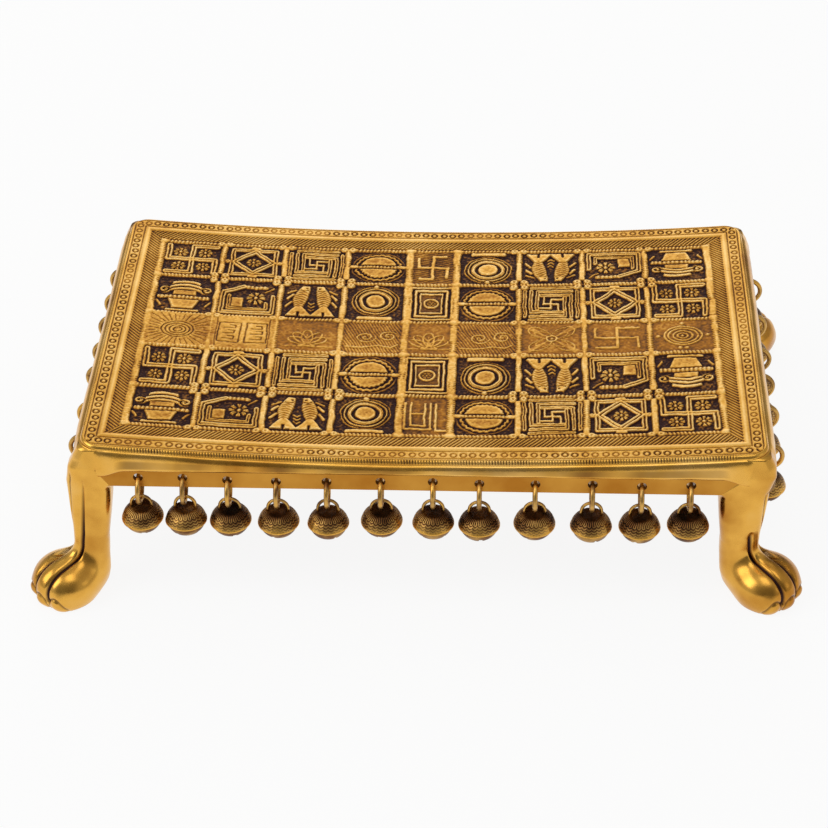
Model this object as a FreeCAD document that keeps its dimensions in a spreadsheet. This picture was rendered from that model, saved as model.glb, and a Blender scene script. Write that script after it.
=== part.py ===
import FreeCAD, Part
import math
import os
import Sketcher

# A bajot: a low cast brass worship table on four paw feet. Its dished top is
# one casting with a hollow underside, and small brass bells hang from rings
# in the lower band of its skirt. All lengths are millimetres. The origin is
# on the floor under the middle of the top, +X to the right, +Y to the back.

DRIVING_SIZES = [
    # the cast top
    ("table_length", 302.0, "length of the chased top"),
    ("table_width", 184.5, "width of the chased top"),
    ("top_height", 72.0, "middle of the dished top above the floor"),
    ("dish_rise", 6.3, "ends of the top above its middle"),
    ("corner_radius", 9.0, "plan radius of the top's corners"),
    ("plate_thickness", 3.6, "thickness of the top plate"),
    ("skirt_depth", 14.7, "middle of the top down to the skirt's lower edge"),
    ("end_flare", 4.0, "band at the ends stands this far out from the top"),
    ("side_flare", 2.0, "band along the sides stands this far out from the top"),
    ("band_height", 8.4, "flat lower band of the skirt"),
    ("band_step", 0.8, "polished roll's lower edge stands this far out from the band"),
    ("band_wall", 2.4, "wall thickness of the skirt"),
    ("rim_round", 1.4, "rounding of the top's outer edge"),
    ("rim_border", 18.3, "chased border between the outer edge and the panels"),
    ("grid_bar", 2.6, "width of the bars between the panels"),
    ("centre_column", 22.8, "width of the middle column of panels"),
    ("middle_row", 26.0, "depth of the middle row of panels"),
    ("panel_depth", 0.8, "panels sunk below the bars"),
    ("ring_hole", 4.4, "diameter of the holes that the rings hang in"),
    # the legs
    ("leg_width", 21.0, "leg along the length of the table, at its top"),
    ("leg_breadth", 17.0, "leg across the table, at its top"),
    ("leg_proud", 0.2, "leg stands this far out from the band"),
    ("leg_splay", 2.4, "ankle stands this far further out than the leg's top"),
    ("ankle_height", 23.0, "ankle above the floor"),
    ("leg_corner", 4.5, "rounding of the leg's corners"),
    ("paw_radius", 15.6, "half the width of a paw"),
    ("paw_height", 19.5, "top of a paw above the floor"),
    ("paw_reach", 15.4, "paw stands this far out from the ankle"),
    ("toe_length", 22.0, "length of a toe"),
    ("toe_height", 12.0, "top of a toe above the floor"),
    ("toe_spread", 7.8, "distance between two toes"),
    ("toe_proud", 1.2, "toes stand this far out from the paw"),
    # the rings and the bells
    ("ring_width", 15.0, "outside diameter of a hanging ring"),
    ("ring_wire", 2.2, "diameter of the ring's wire"),
    ("bail_width", 10.4, "outside width of the bell's wire loop"),
    ("bail_wire", 1.5, "diameter of the loop's wire"),
    ("bail_leg", 1.7, "straight end of the loop below its arch"),
    ("bell_height", 13.2, "height of a bell without its loop"),
    ("bell_wall", 0.8, "thickness of the bell's two shells"),
    ("bell_seam", 1.9, "seam of the bell below its widest place"),
    ("bell_slot", 1.9, "width of the crossed slots in the lower shell"),
    ("seam_bead", 0.9, "thickness of the bead along the seam"),
    ("pellet", 4.2, "diameter of the loose pellet in a bell"),
    ("bell_gap", 0.9, "least gap between two bells side by side"),
    ("link_gap", 0.3, "gap between a ring and what it hangs from or holds"),
    ("overrun", 10.0, "cutting tools run this far past what they cut"),
]

# The holes were drilled by eye, so their places are uneven. Each is a share
# of the clear span between two legs, counted from the left or the rear leg.
FRONT_HOLE_SHARES = [
    0.0474, 0.1207, 0.1940, 0.2740, 0.3570, 0.4453,
    0.5309, 0.6068, 0.6981, 0.7912, 0.8713, 0.9509,
]
LEFT_HOLE_SHARES = [0.0670, 0.1930, 0.3190, 0.4450, 0.5710, 0.7440, 0.9000]
RIGHT_HOLE_SHARES = [0.0820, 0.2640, 0.4370, 0.5650, 0.7140, 0.8930]

# Height of each hole's middle above the skirt's lower edge, as a share of
# the band's height.
FRONT_RISE_SHARES = [0.60, 0.62, 0.50, 0.46, 0.50, 0.56, 0.59, 0.53, 0.54, 0.58, 0.50, 0.60]
SIDE_RISE_SHARES = [0.58, 0.52, 0.56, 0.50, 0.55, 0.52, 0.57]

# A leg's section at its waist, ankle and heel, as a share of that at its top.
WAIST_SHARE = 0.95
ANKLE_SHARE = 0.88
HEEL_SHARE = 0.86

# Two lengths this close, in millimetres, are taken as one.
SAME = 0.01

# Half the full height of the domed paw and of a toe, which the floor cuts,
# and half the width of a toe, as shares of their sizes.
PAW_DOME_SHARE = 0.58
TOE_DOME_SHARE = 0.60
TOE_WIDTH_SHARE = 0.62

# The bell's slots climb this share of the lower shell.
SLOT_SHARE = 0.72

# Where each leg was set, beside its nominal corner, as a share of its width.
# The long rows of holes follow the front legs.
ROW_SET_SHARE = -0.17
LEG_SET_SHARES = {
    "front_left_leg": (-1, -1, ROW_SET_SHARE, -0.15),
    "front_right_leg": (1, -1, ROW_SET_SHARE, 0.15),
    "rear_left_leg": (-1, 1, 0.07, 0.05),
    "rear_right_leg": (1, 1, 0.04, 0.05),
}

doc = FreeCAD.newDocument("bajot")
sheet = doc.addObject("Spreadsheet::Sheet", "sizes")
for row, (alias, value, meaning) in enumerate(DRIVING_SIZES, start=1):
    sheet.set(f"A{row}", meaning)
    sheet.set(f"B{row}", str(value))
    sheet.setAlias(f"B{row}", alias)
doc.recompute()


def size(alias):
    """A driving dimension, read from the sheet."""
    return float(sheet.get(alias))


# Half sizes and levels of the top.
HALF_LENGTH = size("table_length") / 2
HALF_WIDTH = size("table_width") / 2
SKIRT_BOTTOM = size("top_height") - size("skirt_depth")
BAND_TOP = SKIRT_BOTTOM + size("band_height")
BAND_HALF_LENGTH = HALF_LENGTH + size("end_flare")
BAND_HALF_WIDTH = HALF_WIDTH + size("side_flare")

# The clear spans between the legs, in which the bells hang.
LEG_OUTER_X = BAND_HALF_LENGTH + size("leg_proud")
LEG_OUTER_Y = BAND_HALF_WIDTH + size("leg_proud")
LEG_INNER_X = LEG_OUTER_X - size("leg_width")
LEG_INNER_Y = LEG_OUTER_Y - size("leg_breadth") + size("leg_splay")


def spread(shares, inner, setting=0):
    """Places across a clear span that reaches from -inner to +inner."""
    return [inner * (2 * share - 1) + setting for share in shares]


ROW_SETTING = ROW_SET_SHARE * size("leg_width")
FRONT_PLACES = spread(FRONT_HOLE_SHARES, LEG_INNER_X, ROW_SETTING)
LEFT_PLACES = [-place for place in spread(LEFT_HOLE_SHARES, LEG_INNER_Y)]
RIGHT_PLACES = [-place for place in spread(RIGHT_HOLE_SHARES, LEG_INNER_Y)]


def room_for_a_bell(places, inner, setting=0):
    """Half the least distance between two places, or an end one to its leg."""
    ordered = sorted(places)
    halves = [(b - a) / 2 for a, b in zip(ordered, ordered[1:])]
    ends = [inner + setting - ordered[-1], inner - setting + ordered[0]]
    return min(halves + ends)


# The bells are as wide as the closest holes let them be.
ROOM = min(
    room_for_a_bell(FRONT_PLACES, LEG_INNER_X, ROW_SETTING),
    room_for_a_bell(LEFT_PLACES, LEG_INNER_Y),
    room_for_a_bell(RIGHT_PLACES, LEG_INNER_Y),
)
BELL_RADIUS = ROOM - size("bell_gap") / 2

# The ring that hangs on the band's lip, and the bell's own levels, counted
# from the place where its loop rests on the ring.
RING_RADIUS = (size("ring_width") - size("ring_wire")) / 2
RING_INNER = RING_RADIUS - size("ring_wire") / 2
LIP_DROP = math.sqrt(RING_INNER**2 - (size("band_wall") / 2) ** 2) - size("link_gap")
BAIL_RADIUS = (size("bail_width") - size("bail_wire")) / 2
BAIL_TOP = size("link_gap") + size("bail_wire") / 2
ARCH_CENTRE = BAIL_TOP - BAIL_RADIUS
BELL_TOP = ARCH_CENTRE - size("bail_leg")
LAND_RADIUS = BAIL_RADIUS + size("bail_wire") / 2
LAND_SHARE = math.sqrt(1 - (LAND_RADIUS / BELL_RADIUS) ** 2)
SHELL_HALF_HEIGHT = size("bell_height") / (1 + LAND_SHARE)
BELL_CENTRE = BELL_TOP - SHELL_HALF_HEIGHT * LAND_SHARE
CAVITY_RADIUS = BELL_RADIUS - size("bell_wall")
CAVITY_HALF_HEIGHT = SHELL_HALF_HEIGHT * LAND_SHARE - size("bell_wall")


def place(x, y, z, axis=(0, 0, 1), angle=0):
    """A placement at a point, turned by an angle about an axis."""
    turn = FreeCAD.Rotation(FreeCAD.Vector(*axis), angle)
    return FreeCAD.Placement(FreeCAD.Vector(x, y, z), turn)


def new_body(name):
    """An empty body, ready for sketches and features."""
    return doc.addObject("PartDesign::Body", name)


def new_sketch(body, name, plane, level="0"):
    """A sketch on one of the body's own origin planes, lifted to a level."""
    sketch = body.newObject("Sketcher::SketchObject", name)
    support = [f for f in body.Origin.OriginFeatures if f.Role == plane][0]
    sketch.AttachmentSupport = [(support, "")]
    sketch.MapMode = "FlatFace"
    sketch.setExpression("AttachmentOffset.Base.z", level)
    return sketch


def bind(sketch, constraint, expression):
    """Add a measured constraint and tie it to an expression."""
    index = sketch.addConstraint(constraint)
    sketch.setExpression(f"Constraints[{index}]", expression)


def amount(sketch, expression):
    """The present value of an expression."""
    return float(sketch.evalExpression(expression))


def add_circle(sketch, centre_x, centre_y, radius):
    """A circle whose middle and radius follow expressions."""
    x = amount(sketch, centre_x)
    y = amount(sketch, centre_y)
    r = amount(sketch, radius)
    circle = Part.Circle(FreeCAD.Vector(x, y, 0), FreeCAD.Vector(0, 0, 1), r)
    item = sketch.addGeometry(circle, False)
    bind(sketch, Sketcher.Constraint("DistanceX", -1, 1, item, 3, x), centre_x)
    bind(sketch, Sketcher.Constraint("DistanceY", -1, 1, item, 3, y), centre_y)
    bind(sketch, Sketcher.Constraint("Radius", item, r), radius)


def add_rectangle(sketch, left, right, bottom, top):
    """A sharp rectangle whose four sides follow expressions."""
    x0 = amount(sketch, left)
    x1 = amount(sketch, right)
    y0 = amount(sketch, bottom)
    y1 = amount(sketch, top)
    corners = [(x0, y0), (x1, y0), (x1, y1), (x0, y1)]
    points = [FreeCAD.Vector(x, y, 0) for x, y in corners]
    sides = []
    for start, end in zip(points, points[1:] + points[:1]):
        sides.append(sketch.addGeometry(Part.LineSegment(start, end), False))
    for side, following in zip(sides, sides[1:] + sides[:1]):
        sketch.addConstraint(Sketcher.Constraint("Coincident", side, 2, following, 1))
    for side in (sides[0], sides[2]):
        sketch.addConstraint(Sketcher.Constraint("Horizontal", side))
    for side in (sides[1], sides[3]):
        sketch.addConstraint(Sketcher.Constraint("Vertical", side))
    bind(sketch, Sketcher.Constraint("DistanceX", -1, 1, sides[0], 1, x0), left)
    bind(sketch, Sketcher.Constraint("DistanceX", -1, 1, sides[0], 2, x1), right)
    bind(sketch, Sketcher.Constraint("DistanceY", -1, 1, sides[0], 1, y0), bottom)
    bind(sketch, Sketcher.Constraint("DistanceY", -1, 1, sides[2], 1, y1), top)


def add_rounded_rectangle(sketch, left, right, bottom, top, radius):
    """A rectangle with equal round corners, its sides tied to expressions."""
    x0 = amount(sketch, left)
    x1 = amount(sketch, right)
    y0 = amount(sketch, bottom)
    y1 = amount(sketch, top)
    r = amount(sketch, radius)
    runs = [
        ((x0 + r, y0), (x1 - r, y0)),
        ((x1, y0 + r), (x1, y1 - r)),
        ((x1 - r, y1), (x0 + r, y1)),
        ((x0, y1 - r), (x0, y0 + r)),
    ]
    centres = [(x1 - r, y0 + r), (x1 - r, y1 - r), (x0 + r, y1 - r), (x0 + r, y0 + r)]
    sides = []
    rounds = []
    for number, ((ax, ay), (bx, by)) in enumerate(runs):
        line = Part.LineSegment(FreeCAD.Vector(ax, ay, 0), FreeCAD.Vector(bx, by, 0))
        sides.append(sketch.addGeometry(line, False))
        middle = FreeCAD.Vector(*centres[number], 0)
        circle = Part.Circle(middle, FreeCAD.Vector(0, 0, 1), r)
        start = (number - 1) * math.pi / 2
        arc = Part.ArcOfCircle(circle, start, start + math.pi / 2)
        rounds.append(sketch.addGeometry(arc, False))
    for number, side in enumerate(sides):
        after = sides[(number + 1) % len(sides)]
        corner = rounds[number]
        sketch.addConstraint(Sketcher.Constraint("Tangent", side, 2, corner, 1))
        sketch.addConstraint(Sketcher.Constraint("Tangent", corner, 2, after, 1))
    for corner in rounds[1:]:
        sketch.addConstraint(Sketcher.Constraint("Equal", rounds[0], corner))
    for side in (sides[0], sides[2]):
        sketch.addConstraint(Sketcher.Constraint("Horizontal", side))
    for side in (sides[1], sides[3]):
        sketch.addConstraint(Sketcher.Constraint("Vertical", side))
    bind(sketch, Sketcher.Constraint("Radius", rounds[0], r), radius)
    bind(sketch, Sketcher.Constraint("DistanceY", -1, 1, sides[0], 1, y0), bottom)
    bind(sketch, Sketcher.Constraint("DistanceX", -1, 1, sides[1], 1, x1), right)
    bind(sketch, Sketcher.Constraint("DistanceY", -1, 1, sides[2], 1, y1), top)
    bind(sketch, Sketcher.Constraint("DistanceX", -1, 1, sides[3], 1, x0), left)


def add_arch(sketch, half_span, low, radius, crown):
    """A closed outline under an arc that dips in the middle, as the dish does."""
    w = amount(sketch, half_span)
    bottom = amount(sketch, low)
    r = amount(sketch, radius)
    centre = amount(sketch, crown) + r
    end = centre - math.sqrt(r**2 - w**2)
    lean = math.asin(w / r)
    circle = Part.Circle(FreeCAD.Vector(0, centre, 0), FreeCAD.Vector(0, 0, 1), r)
    down = -math.pi / 2
    arc = sketch.addGeometry(Part.ArcOfCircle(circle, down - lean, down + lean), False)
    points = [(w, end), (w, bottom), (-w, bottom), (-w, end)]
    corners = [FreeCAD.Vector(x, y, 0) for x, y in points]
    lines = []
    for start, finish in zip(corners, corners[1:]):
        lines.append(sketch.addGeometry(Part.LineSegment(start, finish), False))
    sketch.addConstraint(Sketcher.Constraint("Coincident", arc, 2, lines[0], 1))
    sketch.addConstraint(Sketcher.Constraint("Coincident", lines[0], 2, lines[1], 1))
    sketch.addConstraint(Sketcher.Constraint("Coincident", lines[1], 2, lines[2], 1))
    sketch.addConstraint(Sketcher.Constraint("Coincident", lines[2], 2, arc, 1))
    sketch.addConstraint(Sketcher.Constraint("Vertical", lines[0]))
    sketch.addConstraint(Sketcher.Constraint("Horizontal", lines[1]))
    sketch.addConstraint(Sketcher.Constraint("Vertical", lines[2]))
    sketch.addConstraint(Sketcher.Constraint("PointOnObject", arc, 3, -2))
    bind(sketch, Sketcher.Constraint("DistanceY", -1, 1, lines[1], 1, bottom), low)
    bind(sketch, Sketcher.Constraint("DistanceX", -1, 1, lines[0], 1, w), half_span)
    bind(sketch, Sketcher.Constraint("Radius", arc, r), radius)
    bind(
        sketch,
        Sketcher.Constraint("DistanceY", -1, 1, arc, 3, centre),
        f"{crown} + {radius}",
    )


def pad(body, sketch, length):
    """Raise a sketch by a length."""
    feature = body.newObject("PartDesign::Pad", sketch.Name + "_pad")
    feature.Profile = sketch
    feature.setExpression("Length", length)
    doc.recompute()
    return feature


def pocket(body, sketch, length, midplane=False, backwards=False):
    """Cut a sketch to a depth, along or against its own direction."""
    before = body.Tip.Shape.Volume
    feature = body.newObject("PartDesign::Pocket", sketch.Name + "_cut")
    feature.Profile = sketch
    feature.Reversed = backwards
    feature.Midplane = midplane
    feature.setExpression("Length", length)
    doc.recompute()
    if not feature.Shape.Volume < before:
        raise RuntimeError(f"{feature.Name} cuts nothing")
    return feature


def round_edges(body, radius, chosen, name):
    """Round the edges of the body's last shape that a test picks out."""
    base = body.Tip
    edges = base.Shape.Edges
    names = [f"Edge{n}" for n, edge in enumerate(edges, start=1) if chosen(edge)]
    feature = body.newObject("PartDesign::Fillet", name)
    feature.Base = (base, names)
    feature.setExpression("Radius", radius)
    doc.recompute()
    return feature


# Expressions that several features share.
DISH_RADIUS_RULE = (
    "((sizes.table_length / 2)^2 + sizes.dish_rise^2) / (2 * sizes.dish_rise)"
)
BOTTOM_RULE = "(sizes.top_height - sizes.skirt_depth)"
BAND_TOP_RULE = "(sizes.top_height - sizes.skirt_depth + sizes.band_height)"
RIM_TOP_RULE = "(sizes.top_height + sizes.dish_rise)"
BAND_X_RULE = "(sizes.table_length / 2 + sizes.end_flare)"
BAND_Y_RULE = "(sizes.table_width / 2 + sizes.side_flare)"
LEG_X_RULE = f"({BAND_X_RULE} + sizes.leg_proud)"
LEG_Y_RULE = f"({BAND_Y_RULE} + sizes.leg_proud)"
SEAT_X_RULE = f"({LEG_X_RULE} - sizes.leg_width + sizes.leg_splay)"
SEAT_Y_RULE = f"({LEG_Y_RULE} - sizes.leg_breadth + sizes.leg_splay)"


def cut_the_dish(body):
    """Cut away all that lies above the dished surface."""
    sketch = new_sketch(body, "dish", "XZ_Plane")
    half = "(sizes.table_length / 2 + sizes.overrun)"
    add_arch(
        sketch, half, "(sizes.top_height + sizes.dish_rise + sizes.overrun)",
        DISH_RADIUS_RULE, "sizes.top_height",
    )
    pocket(body, sketch, "sizes.table_width + 2 * sizes.overrun", midplane=True)


def hollow_the_underside(body):
    """Cut the underside out to an even plate, and wider inside the thin band.

    The band keeps its full thickness at the corners, over the legs.
    """
    sketch = new_sketch(body, "underside", "XZ_Plane")
    add_arch(
        sketch, "(sizes.table_length / 2 - sizes.band_wall)",
        f"({BOTTOM_RULE} - sizes.overrun)",
        f"({DISH_RADIUS_RULE} + sizes.plate_thickness)",
        "(sizes.top_height - sizes.plate_thickness)",
    )
    pocket(body, sketch, "2 * (sizes.table_width / 2 - sizes.band_wall)", midplane=True)
    for name, half_x, half_y in (
        ("inside_of_ends", f"({BAND_X_RULE} - sizes.band_wall)", SEAT_Y_RULE),
        ("inside_of_sides", SEAT_X_RULE, f"({BAND_Y_RULE} - sizes.band_wall)"),
    ):
        inside = new_sketch(body, name, "XY_Plane", BAND_TOP_RULE)
        add_rectangle(inside, f"-{half_x}", half_x, f"-{half_y}", half_y)
        pocket(body, inside, "sizes.band_height + sizes.overrun")


def add_leg_seats(body):
    """Fill the four inner corners, where the legs are brazed on."""
    sketch = new_sketch(body, "leg_seats", "XY_Plane", BOTTOM_RULE)
    far_x = "(sizes.table_length / 2 - sizes.band_wall / 2)"
    far_y = "(sizes.table_width / 2 - sizes.band_wall / 2)"
    along = [(SEAT_X_RULE, far_x), (f"-{far_x}", f"-{SEAT_X_RULE}")]
    across = [(SEAT_Y_RULE, far_y), (f"-{far_y}", f"-{SEAT_Y_RULE}")]
    for left, right in along:
        for bottom, top in across:
            add_rectangle(sketch, left, right, bottom, top)
    pad(body, sketch, "sizes.skirt_depth + sizes.dish_rise / 2 - sizes.plate_thickness / 2")


def drill_the_band(body):
    """Drill the ring holes through the four sides of the band."""
    hole = "sizes.ring_hole / 2"
    span_x = f"({LEG_X_RULE} - sizes.leg_width)"
    span_y = f"({LEG_Y_RULE} - sizes.leg_breadth + sizes.leg_splay)"
    long_sides = new_sketch(body, "front_holes", "XZ_Plane")
    for share, rise in zip(FRONT_HOLE_SHARES, FRONT_RISE_SHARES):
        x = f"{span_x} * (2 * {share} - 1) + {ROW_SET_SHARE} * sizes.leg_width"
        z = f"{BOTTOM_RULE} + {rise} * sizes.band_height"
        add_circle(long_sides, x, z, hole)
    pocket(body, long_sides, "sizes.table_width + 2 * sizes.overrun", midplane=True)
    for name, shares, backwards in (
        ("left_holes", LEFT_HOLE_SHARES, False),
        ("right_holes", RIGHT_HOLE_SHARES, True),
    ):
        side = new_sketch(body, name, "YZ_Plane")
        for share, rise in zip(shares, SIDE_RISE_SHARES):
            y = f"{span_y} * (1 - 2 * {share})"
            z = f"{BOTTOM_RULE} + {rise} * sizes.band_height"
            add_circle(side, y, z, hole)
        pocket(body, side, "sizes.table_length / 2 + sizes.overrun", backwards=backwards)


def sink_the_panels(body):
    """Sink the rows of panels, one cut for each pair of columns."""
    outer_x = "(sizes.table_length / 2 - sizes.rim_border)"
    outer_y = "(sizes.table_width / 2 - sizes.rim_border)"
    half_bar = "sizes.grid_bar / 2"
    pitch = f"(({outer_x} - sizes.centre_column / 2) / 4)"
    row_pitch = f"(({outer_y} - sizes.middle_row / 2) / 2)"
    rows = [(f"-sizes.middle_row / 2 + {half_bar}", f"sizes.middle_row / 2 - {half_bar}")]
    for step in range(2):
        near = f"(sizes.middle_row / 2 + {step} * {row_pitch} + {half_bar})"
        far = f"(sizes.middle_row / 2 + {step + 1} * {row_pitch} - {half_bar})"
        rows.append((near, far))
        rows.append((f"-{far}", f"-{near}"))
    for column in range(5):
        near = f"(sizes.centre_column / 2 + {column - 1} * {pitch} + {half_bar})"
        far = f"(sizes.centre_column / 2 + {column} * {pitch} - {half_bar})"
        spans = [(near, far), (f"-{far}", f"-{near}")]
        middle = f"(({near} + {far}) / 2)"
        if column == 0:
            half = f"(sizes.centre_column / 2 - {half_bar})"
            spans = [(f"-{half}", half)]
            middle = "(sizes.centre_column - sizes.centre_column)"
        level = (
            f"sizes.top_height + {DISH_RADIUS_RULE}"
            f" - sqrt(({DISH_RADIUS_RULE})^2 - {middle}^2) - sizes.panel_depth"
        )
        sketch = new_sketch(body, f"panels_{column}", "XY_Plane", level)
        for left, right in spans:
            for bottom, top in rows:
                add_rectangle(sketch, left, right, bottom, top)
        pocket(body, sketch, "sizes.dish_rise + sizes.overrun", backwards=True)


def on_the_rim(edge):
    """Whether an edge is part of the top's outer edge."""
    box = edge.BoundBox
    reach = max(abs(box.XMin), abs(box.XMax))
    width = max(abs(box.YMin), abs(box.YMax))
    outside = reach > HALF_LENGTH - SAME or width > HALF_WIDTH - SAME
    high = box.ZMin > size("top_height") - SAME
    tall = box.ZLength > size("dish_rise")
    return high and outside and not tall


def roll_section(body, name, level, half_x, half_y, corner):
    """One outline of the polished roll."""
    sketch = new_sketch(body, name, "XY_Plane", level)
    add_rounded_rectangle(sketch, f"-{half_x}", half_x, f"-{half_y}", half_y, corner)
    return sketch


def add_the_roll(body):
    """The roll slopes in from the band to the rim, and on above the dish."""
    spare = "(sizes.overrun / 2)"
    lean = f"{spare} / ({RIM_TOP_RULE} - {BAND_TOP_RULE})"
    low = roll_section(
        body, "roll_low", BAND_TOP_RULE, f"({BAND_X_RULE} + sizes.band_step)",
        f"({BAND_Y_RULE} + sizes.band_step)", "sizes.corner_radius + sizes.band_step",
    )
    high = roll_section(
        body, "roll_high", f"{RIM_TOP_RULE} + {spare}",
        f"(sizes.table_length / 2 - (sizes.end_flare + sizes.band_step) * {lean})",
        f"(sizes.table_width / 2 - (sizes.side_flare + sizes.band_step) * {lean})",
        "sizes.corner_radius",
    )
    roll = body.newObject("PartDesign::AdditiveLoft", "roll")
    roll.Profile = low
    roll.Sections = [high]
    doc.recompute()


def make_tabletop():
    """The cast top: dished plate, skirt with its roll and band, leg seats."""
    body = new_body("tabletop_body")
    band = new_sketch(body, "band", "XY_Plane", BOTTOM_RULE)
    half_x = BAND_X_RULE
    half_y = BAND_Y_RULE
    corner = "sizes.corner_radius"
    add_rounded_rectangle(band, f"-{half_x}", half_x, f"-{half_y}", half_y, corner)
    pad(body, band, "sizes.band_height")
    add_the_roll(body)
    cut_the_dish(body)
    round_edges(body, "sizes.rim_round", on_the_rim, "rim_round")
    hollow_the_underside(body)
    add_leg_seats(body)
    drill_the_band(body)
    sink_the_panels(body)
    body.Label = "tabletop"
    return body


def leg_section(body, name, level, sides, shift, outer, shrink):
    """One rounded square section of a leg, at a level above the floor."""
    sketch = new_sketch(body, name, "XY_Plane", level)
    limits = []
    thick = ("sizes.leg_width", "sizes.leg_breadth")
    for side, move, edge, across in zip(sides, shift, outer, thick):
        far = f"({side} * {edge} + {move} * sizes.leg_width)"
        near = f"({side} * ({edge} - {across} * {shrink}) + {move} * sizes.leg_width)"
        limits += [far, near] if side < 0 else [near, far]
    add_rounded_rectangle(sketch, *limits, "sizes.leg_corner")
    return sketch


def make_column(name, sides, shift):
    """The leg's square column, from its seat down into the paw."""
    body = new_body(name + "_column")
    outer = (LEG_X_RULE, LEG_Y_RULE)
    splayed = tuple(f"({edge} + sizes.leg_splay)" for edge in outer)
    waist = f"(({BOTTOM_RULE} + sizes.ankle_height) / 2)"
    levels = [
        ("top", BOTTOM_RULE, outer, 1),
        ("waist", waist, splayed, WAIST_SHARE),
        ("ankle", "sizes.ankle_height", splayed, ANKLE_SHARE),
        ("heel", "sizes.paw_height / 2", splayed, HEEL_SHARE),
    ]
    sections = []
    for label, level, edges, shrink in levels:
        sections.append(leg_section(body, label, level, sides, shift, edges, shrink))
    loft = body.newObject("PartDesign::AdditiveLoft", "column")
    loft.Profile = sections[0]
    loft.Sections = sections[1:]
    doc.recompute()
    return body


def make_dome(name, half_height, half_length, half_width, where):
    """A rounded lump of the paw; it reaches below the floor until it is cut."""
    dome = doc.addObject("Part::Ellipsoid", name)
    dome.setExpression("Radius1", half_height)
    dome.setExpression("Radius2", half_length)
    dome.setExpression("Radius3", half_width)
    dome.Angle1 = -90
    dome.Placement = where
    return dome


def make_leg(name, side_x, side_y, *shift):
    """A paw-footed leg, brazed under one corner of the top."""
    reach = size("leg_proud") + size("leg_splay") + size("paw_reach") - size("paw_radius")
    middle_x = side_x * (BAND_HALF_LENGTH + reach) + shift[0] * size("leg_width")
    middle_y = side_y * (BAND_HALF_WIDTH + reach) + shift[1] * size("leg_width")
    paw_level = size("paw_height") * (1 - PAW_DOME_SHARE)
    toe_level = size("toe_height") * (1 - TOE_DOME_SHARE)
    pieces = [
        make_column(name, (side_x, side_y), shift),
        make_dome(
            name + "_paw", f"sizes.paw_height * {PAW_DOME_SHARE}", "sizes.paw_radius",
            "sizes.paw_radius", place(middle_x, middle_y, paw_level),
        ),
    ]
    heading = math.atan2(side_y, side_x)
    for number in (-1, 0, 1):
        aside = number * size("toe_spread")
        tip = math.sqrt(size("paw_radius") ** 2 - aside**2) + size("toe_proud")
        out = tip - size("toe_length") / 2
        x = middle_x + out * math.cos(heading) - aside * math.sin(heading)
        y = middle_y + out * math.sin(heading) + aside * math.cos(heading)
        toe = make_dome(
            f"{name}_toe_{number + 2}", f"sizes.toe_height * {TOE_DOME_SHARE}",
            "sizes.toe_length / 2", f"sizes.toe_spread * {TOE_WIDTH_SHARE}",
            place(x, y, toe_level, angle=math.degrees(heading)),
        )
        pieces.append(toe)
    whole = doc.addObject("Part::MultiFuse", name + "_whole")
    whole.Shapes = pieces
    ground = doc.addObject("Part::Box", name + "_ground")
    ground.setExpression("Length", "4 * sizes.paw_radius")
    ground.setExpression("Width", "4 * sizes.paw_radius")
    ground.setExpression("Height", "sizes.paw_height")
    half = 2 * size("paw_radius")
    ground.Placement = place(middle_x - half, middle_y - half, -size("paw_height"))
    leg = doc.addObject("Part::Cut", name)
    leg.Base = whole
    leg.Tool = ground
    doc.recompute()
    leg.Label = name
    return leg


def bell_shell():
    """The hollow bell as one closed shell, with a flat land on its top."""
    outer = doc.addObject("Part::Ellipsoid", "bell_outside")
    outer.Radius1 = SHELL_HALF_HEIGHT
    outer.Radius2 = BELL_RADIUS
    outer.Radius3 = BELL_RADIUS
    outer.Angle1 = -90
    cavity = doc.addObject("Part::Ellipsoid", "bell_cavity")
    cavity.Radius1 = CAVITY_HALF_HEIGHT
    cavity.Radius2 = CAVITY_RADIUS
    cavity.Radius3 = CAVITY_RADIUS
    cavity.Angle1 = -90
    shell = doc.addObject("Part::Cut", "bell_hollow")
    shell.Base = outer
    shell.Tool = cavity
    return shell


def keep_half(name, shell, low, high):
    """What a shell has between two levels."""
    keep = doc.addObject("Part::Cylinder", name + "_keep")
    keep.Radius = BELL_RADIUS + size("overrun")
    keep.Height = high - low
    keep.Placement = place(0, 0, low)
    half = doc.addObject("Part::Common", name)
    half.Base = shell
    half.Tool = keep
    return half


def make_upper_shell(shell):
    """The embossed upper shell, with the bead along its seam."""
    half = keep_half("upper_half", shell, -size("bell_seam"), BELL_TOP - BELL_CENTRE)
    bead = doc.addObject("Part::Torus", "bell_bead")
    bead.Radius1 = BELL_RADIUS - size("seam_bead") / 2
    bead.setExpression("Radius2", "sizes.seam_bead / 2")
    bead.Placement = place(0, 0, size("seam_bead") / 2 - size("bell_seam"))
    upper = doc.addObject("Part::Fuse", "upper_shell")
    upper.Base = half
    upper.Tool = bead
    return upper


def make_lower_shell(shell):
    """The plain lower shell with two crossed slots."""
    bottom = -SHELL_HALF_HEIGHT - size("overrun")
    half = keep_half("lower_half", shell, bottom, -size("bell_seam"))
    slots = []
    climb = (SHELL_HALF_HEIGHT - size("bell_seam")) * SLOT_SHARE
    for number, angle in enumerate((45, 135)):
        slot = doc.addObject("Part::Box", f"slot_{number}")
        slot.Length = 2 * BELL_RADIUS
        slot.setExpression("Width", "sizes.bell_slot")
        slot.Height = climb + size("overrun")
        centred = place(-BELL_RADIUS, -size("bell_slot") / 2, 0)
        slot.Placement = place(0, 0, bottom, angle=angle).multiply(centred)
        slots.append(slot)
    cross = doc.addObject("Part::MultiFuse", "slots")
    cross.Shapes = slots
    lower = doc.addObject("Part::Cut", "lower_shell")
    lower.Base = half
    lower.Tool = cross
    return lower


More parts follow.
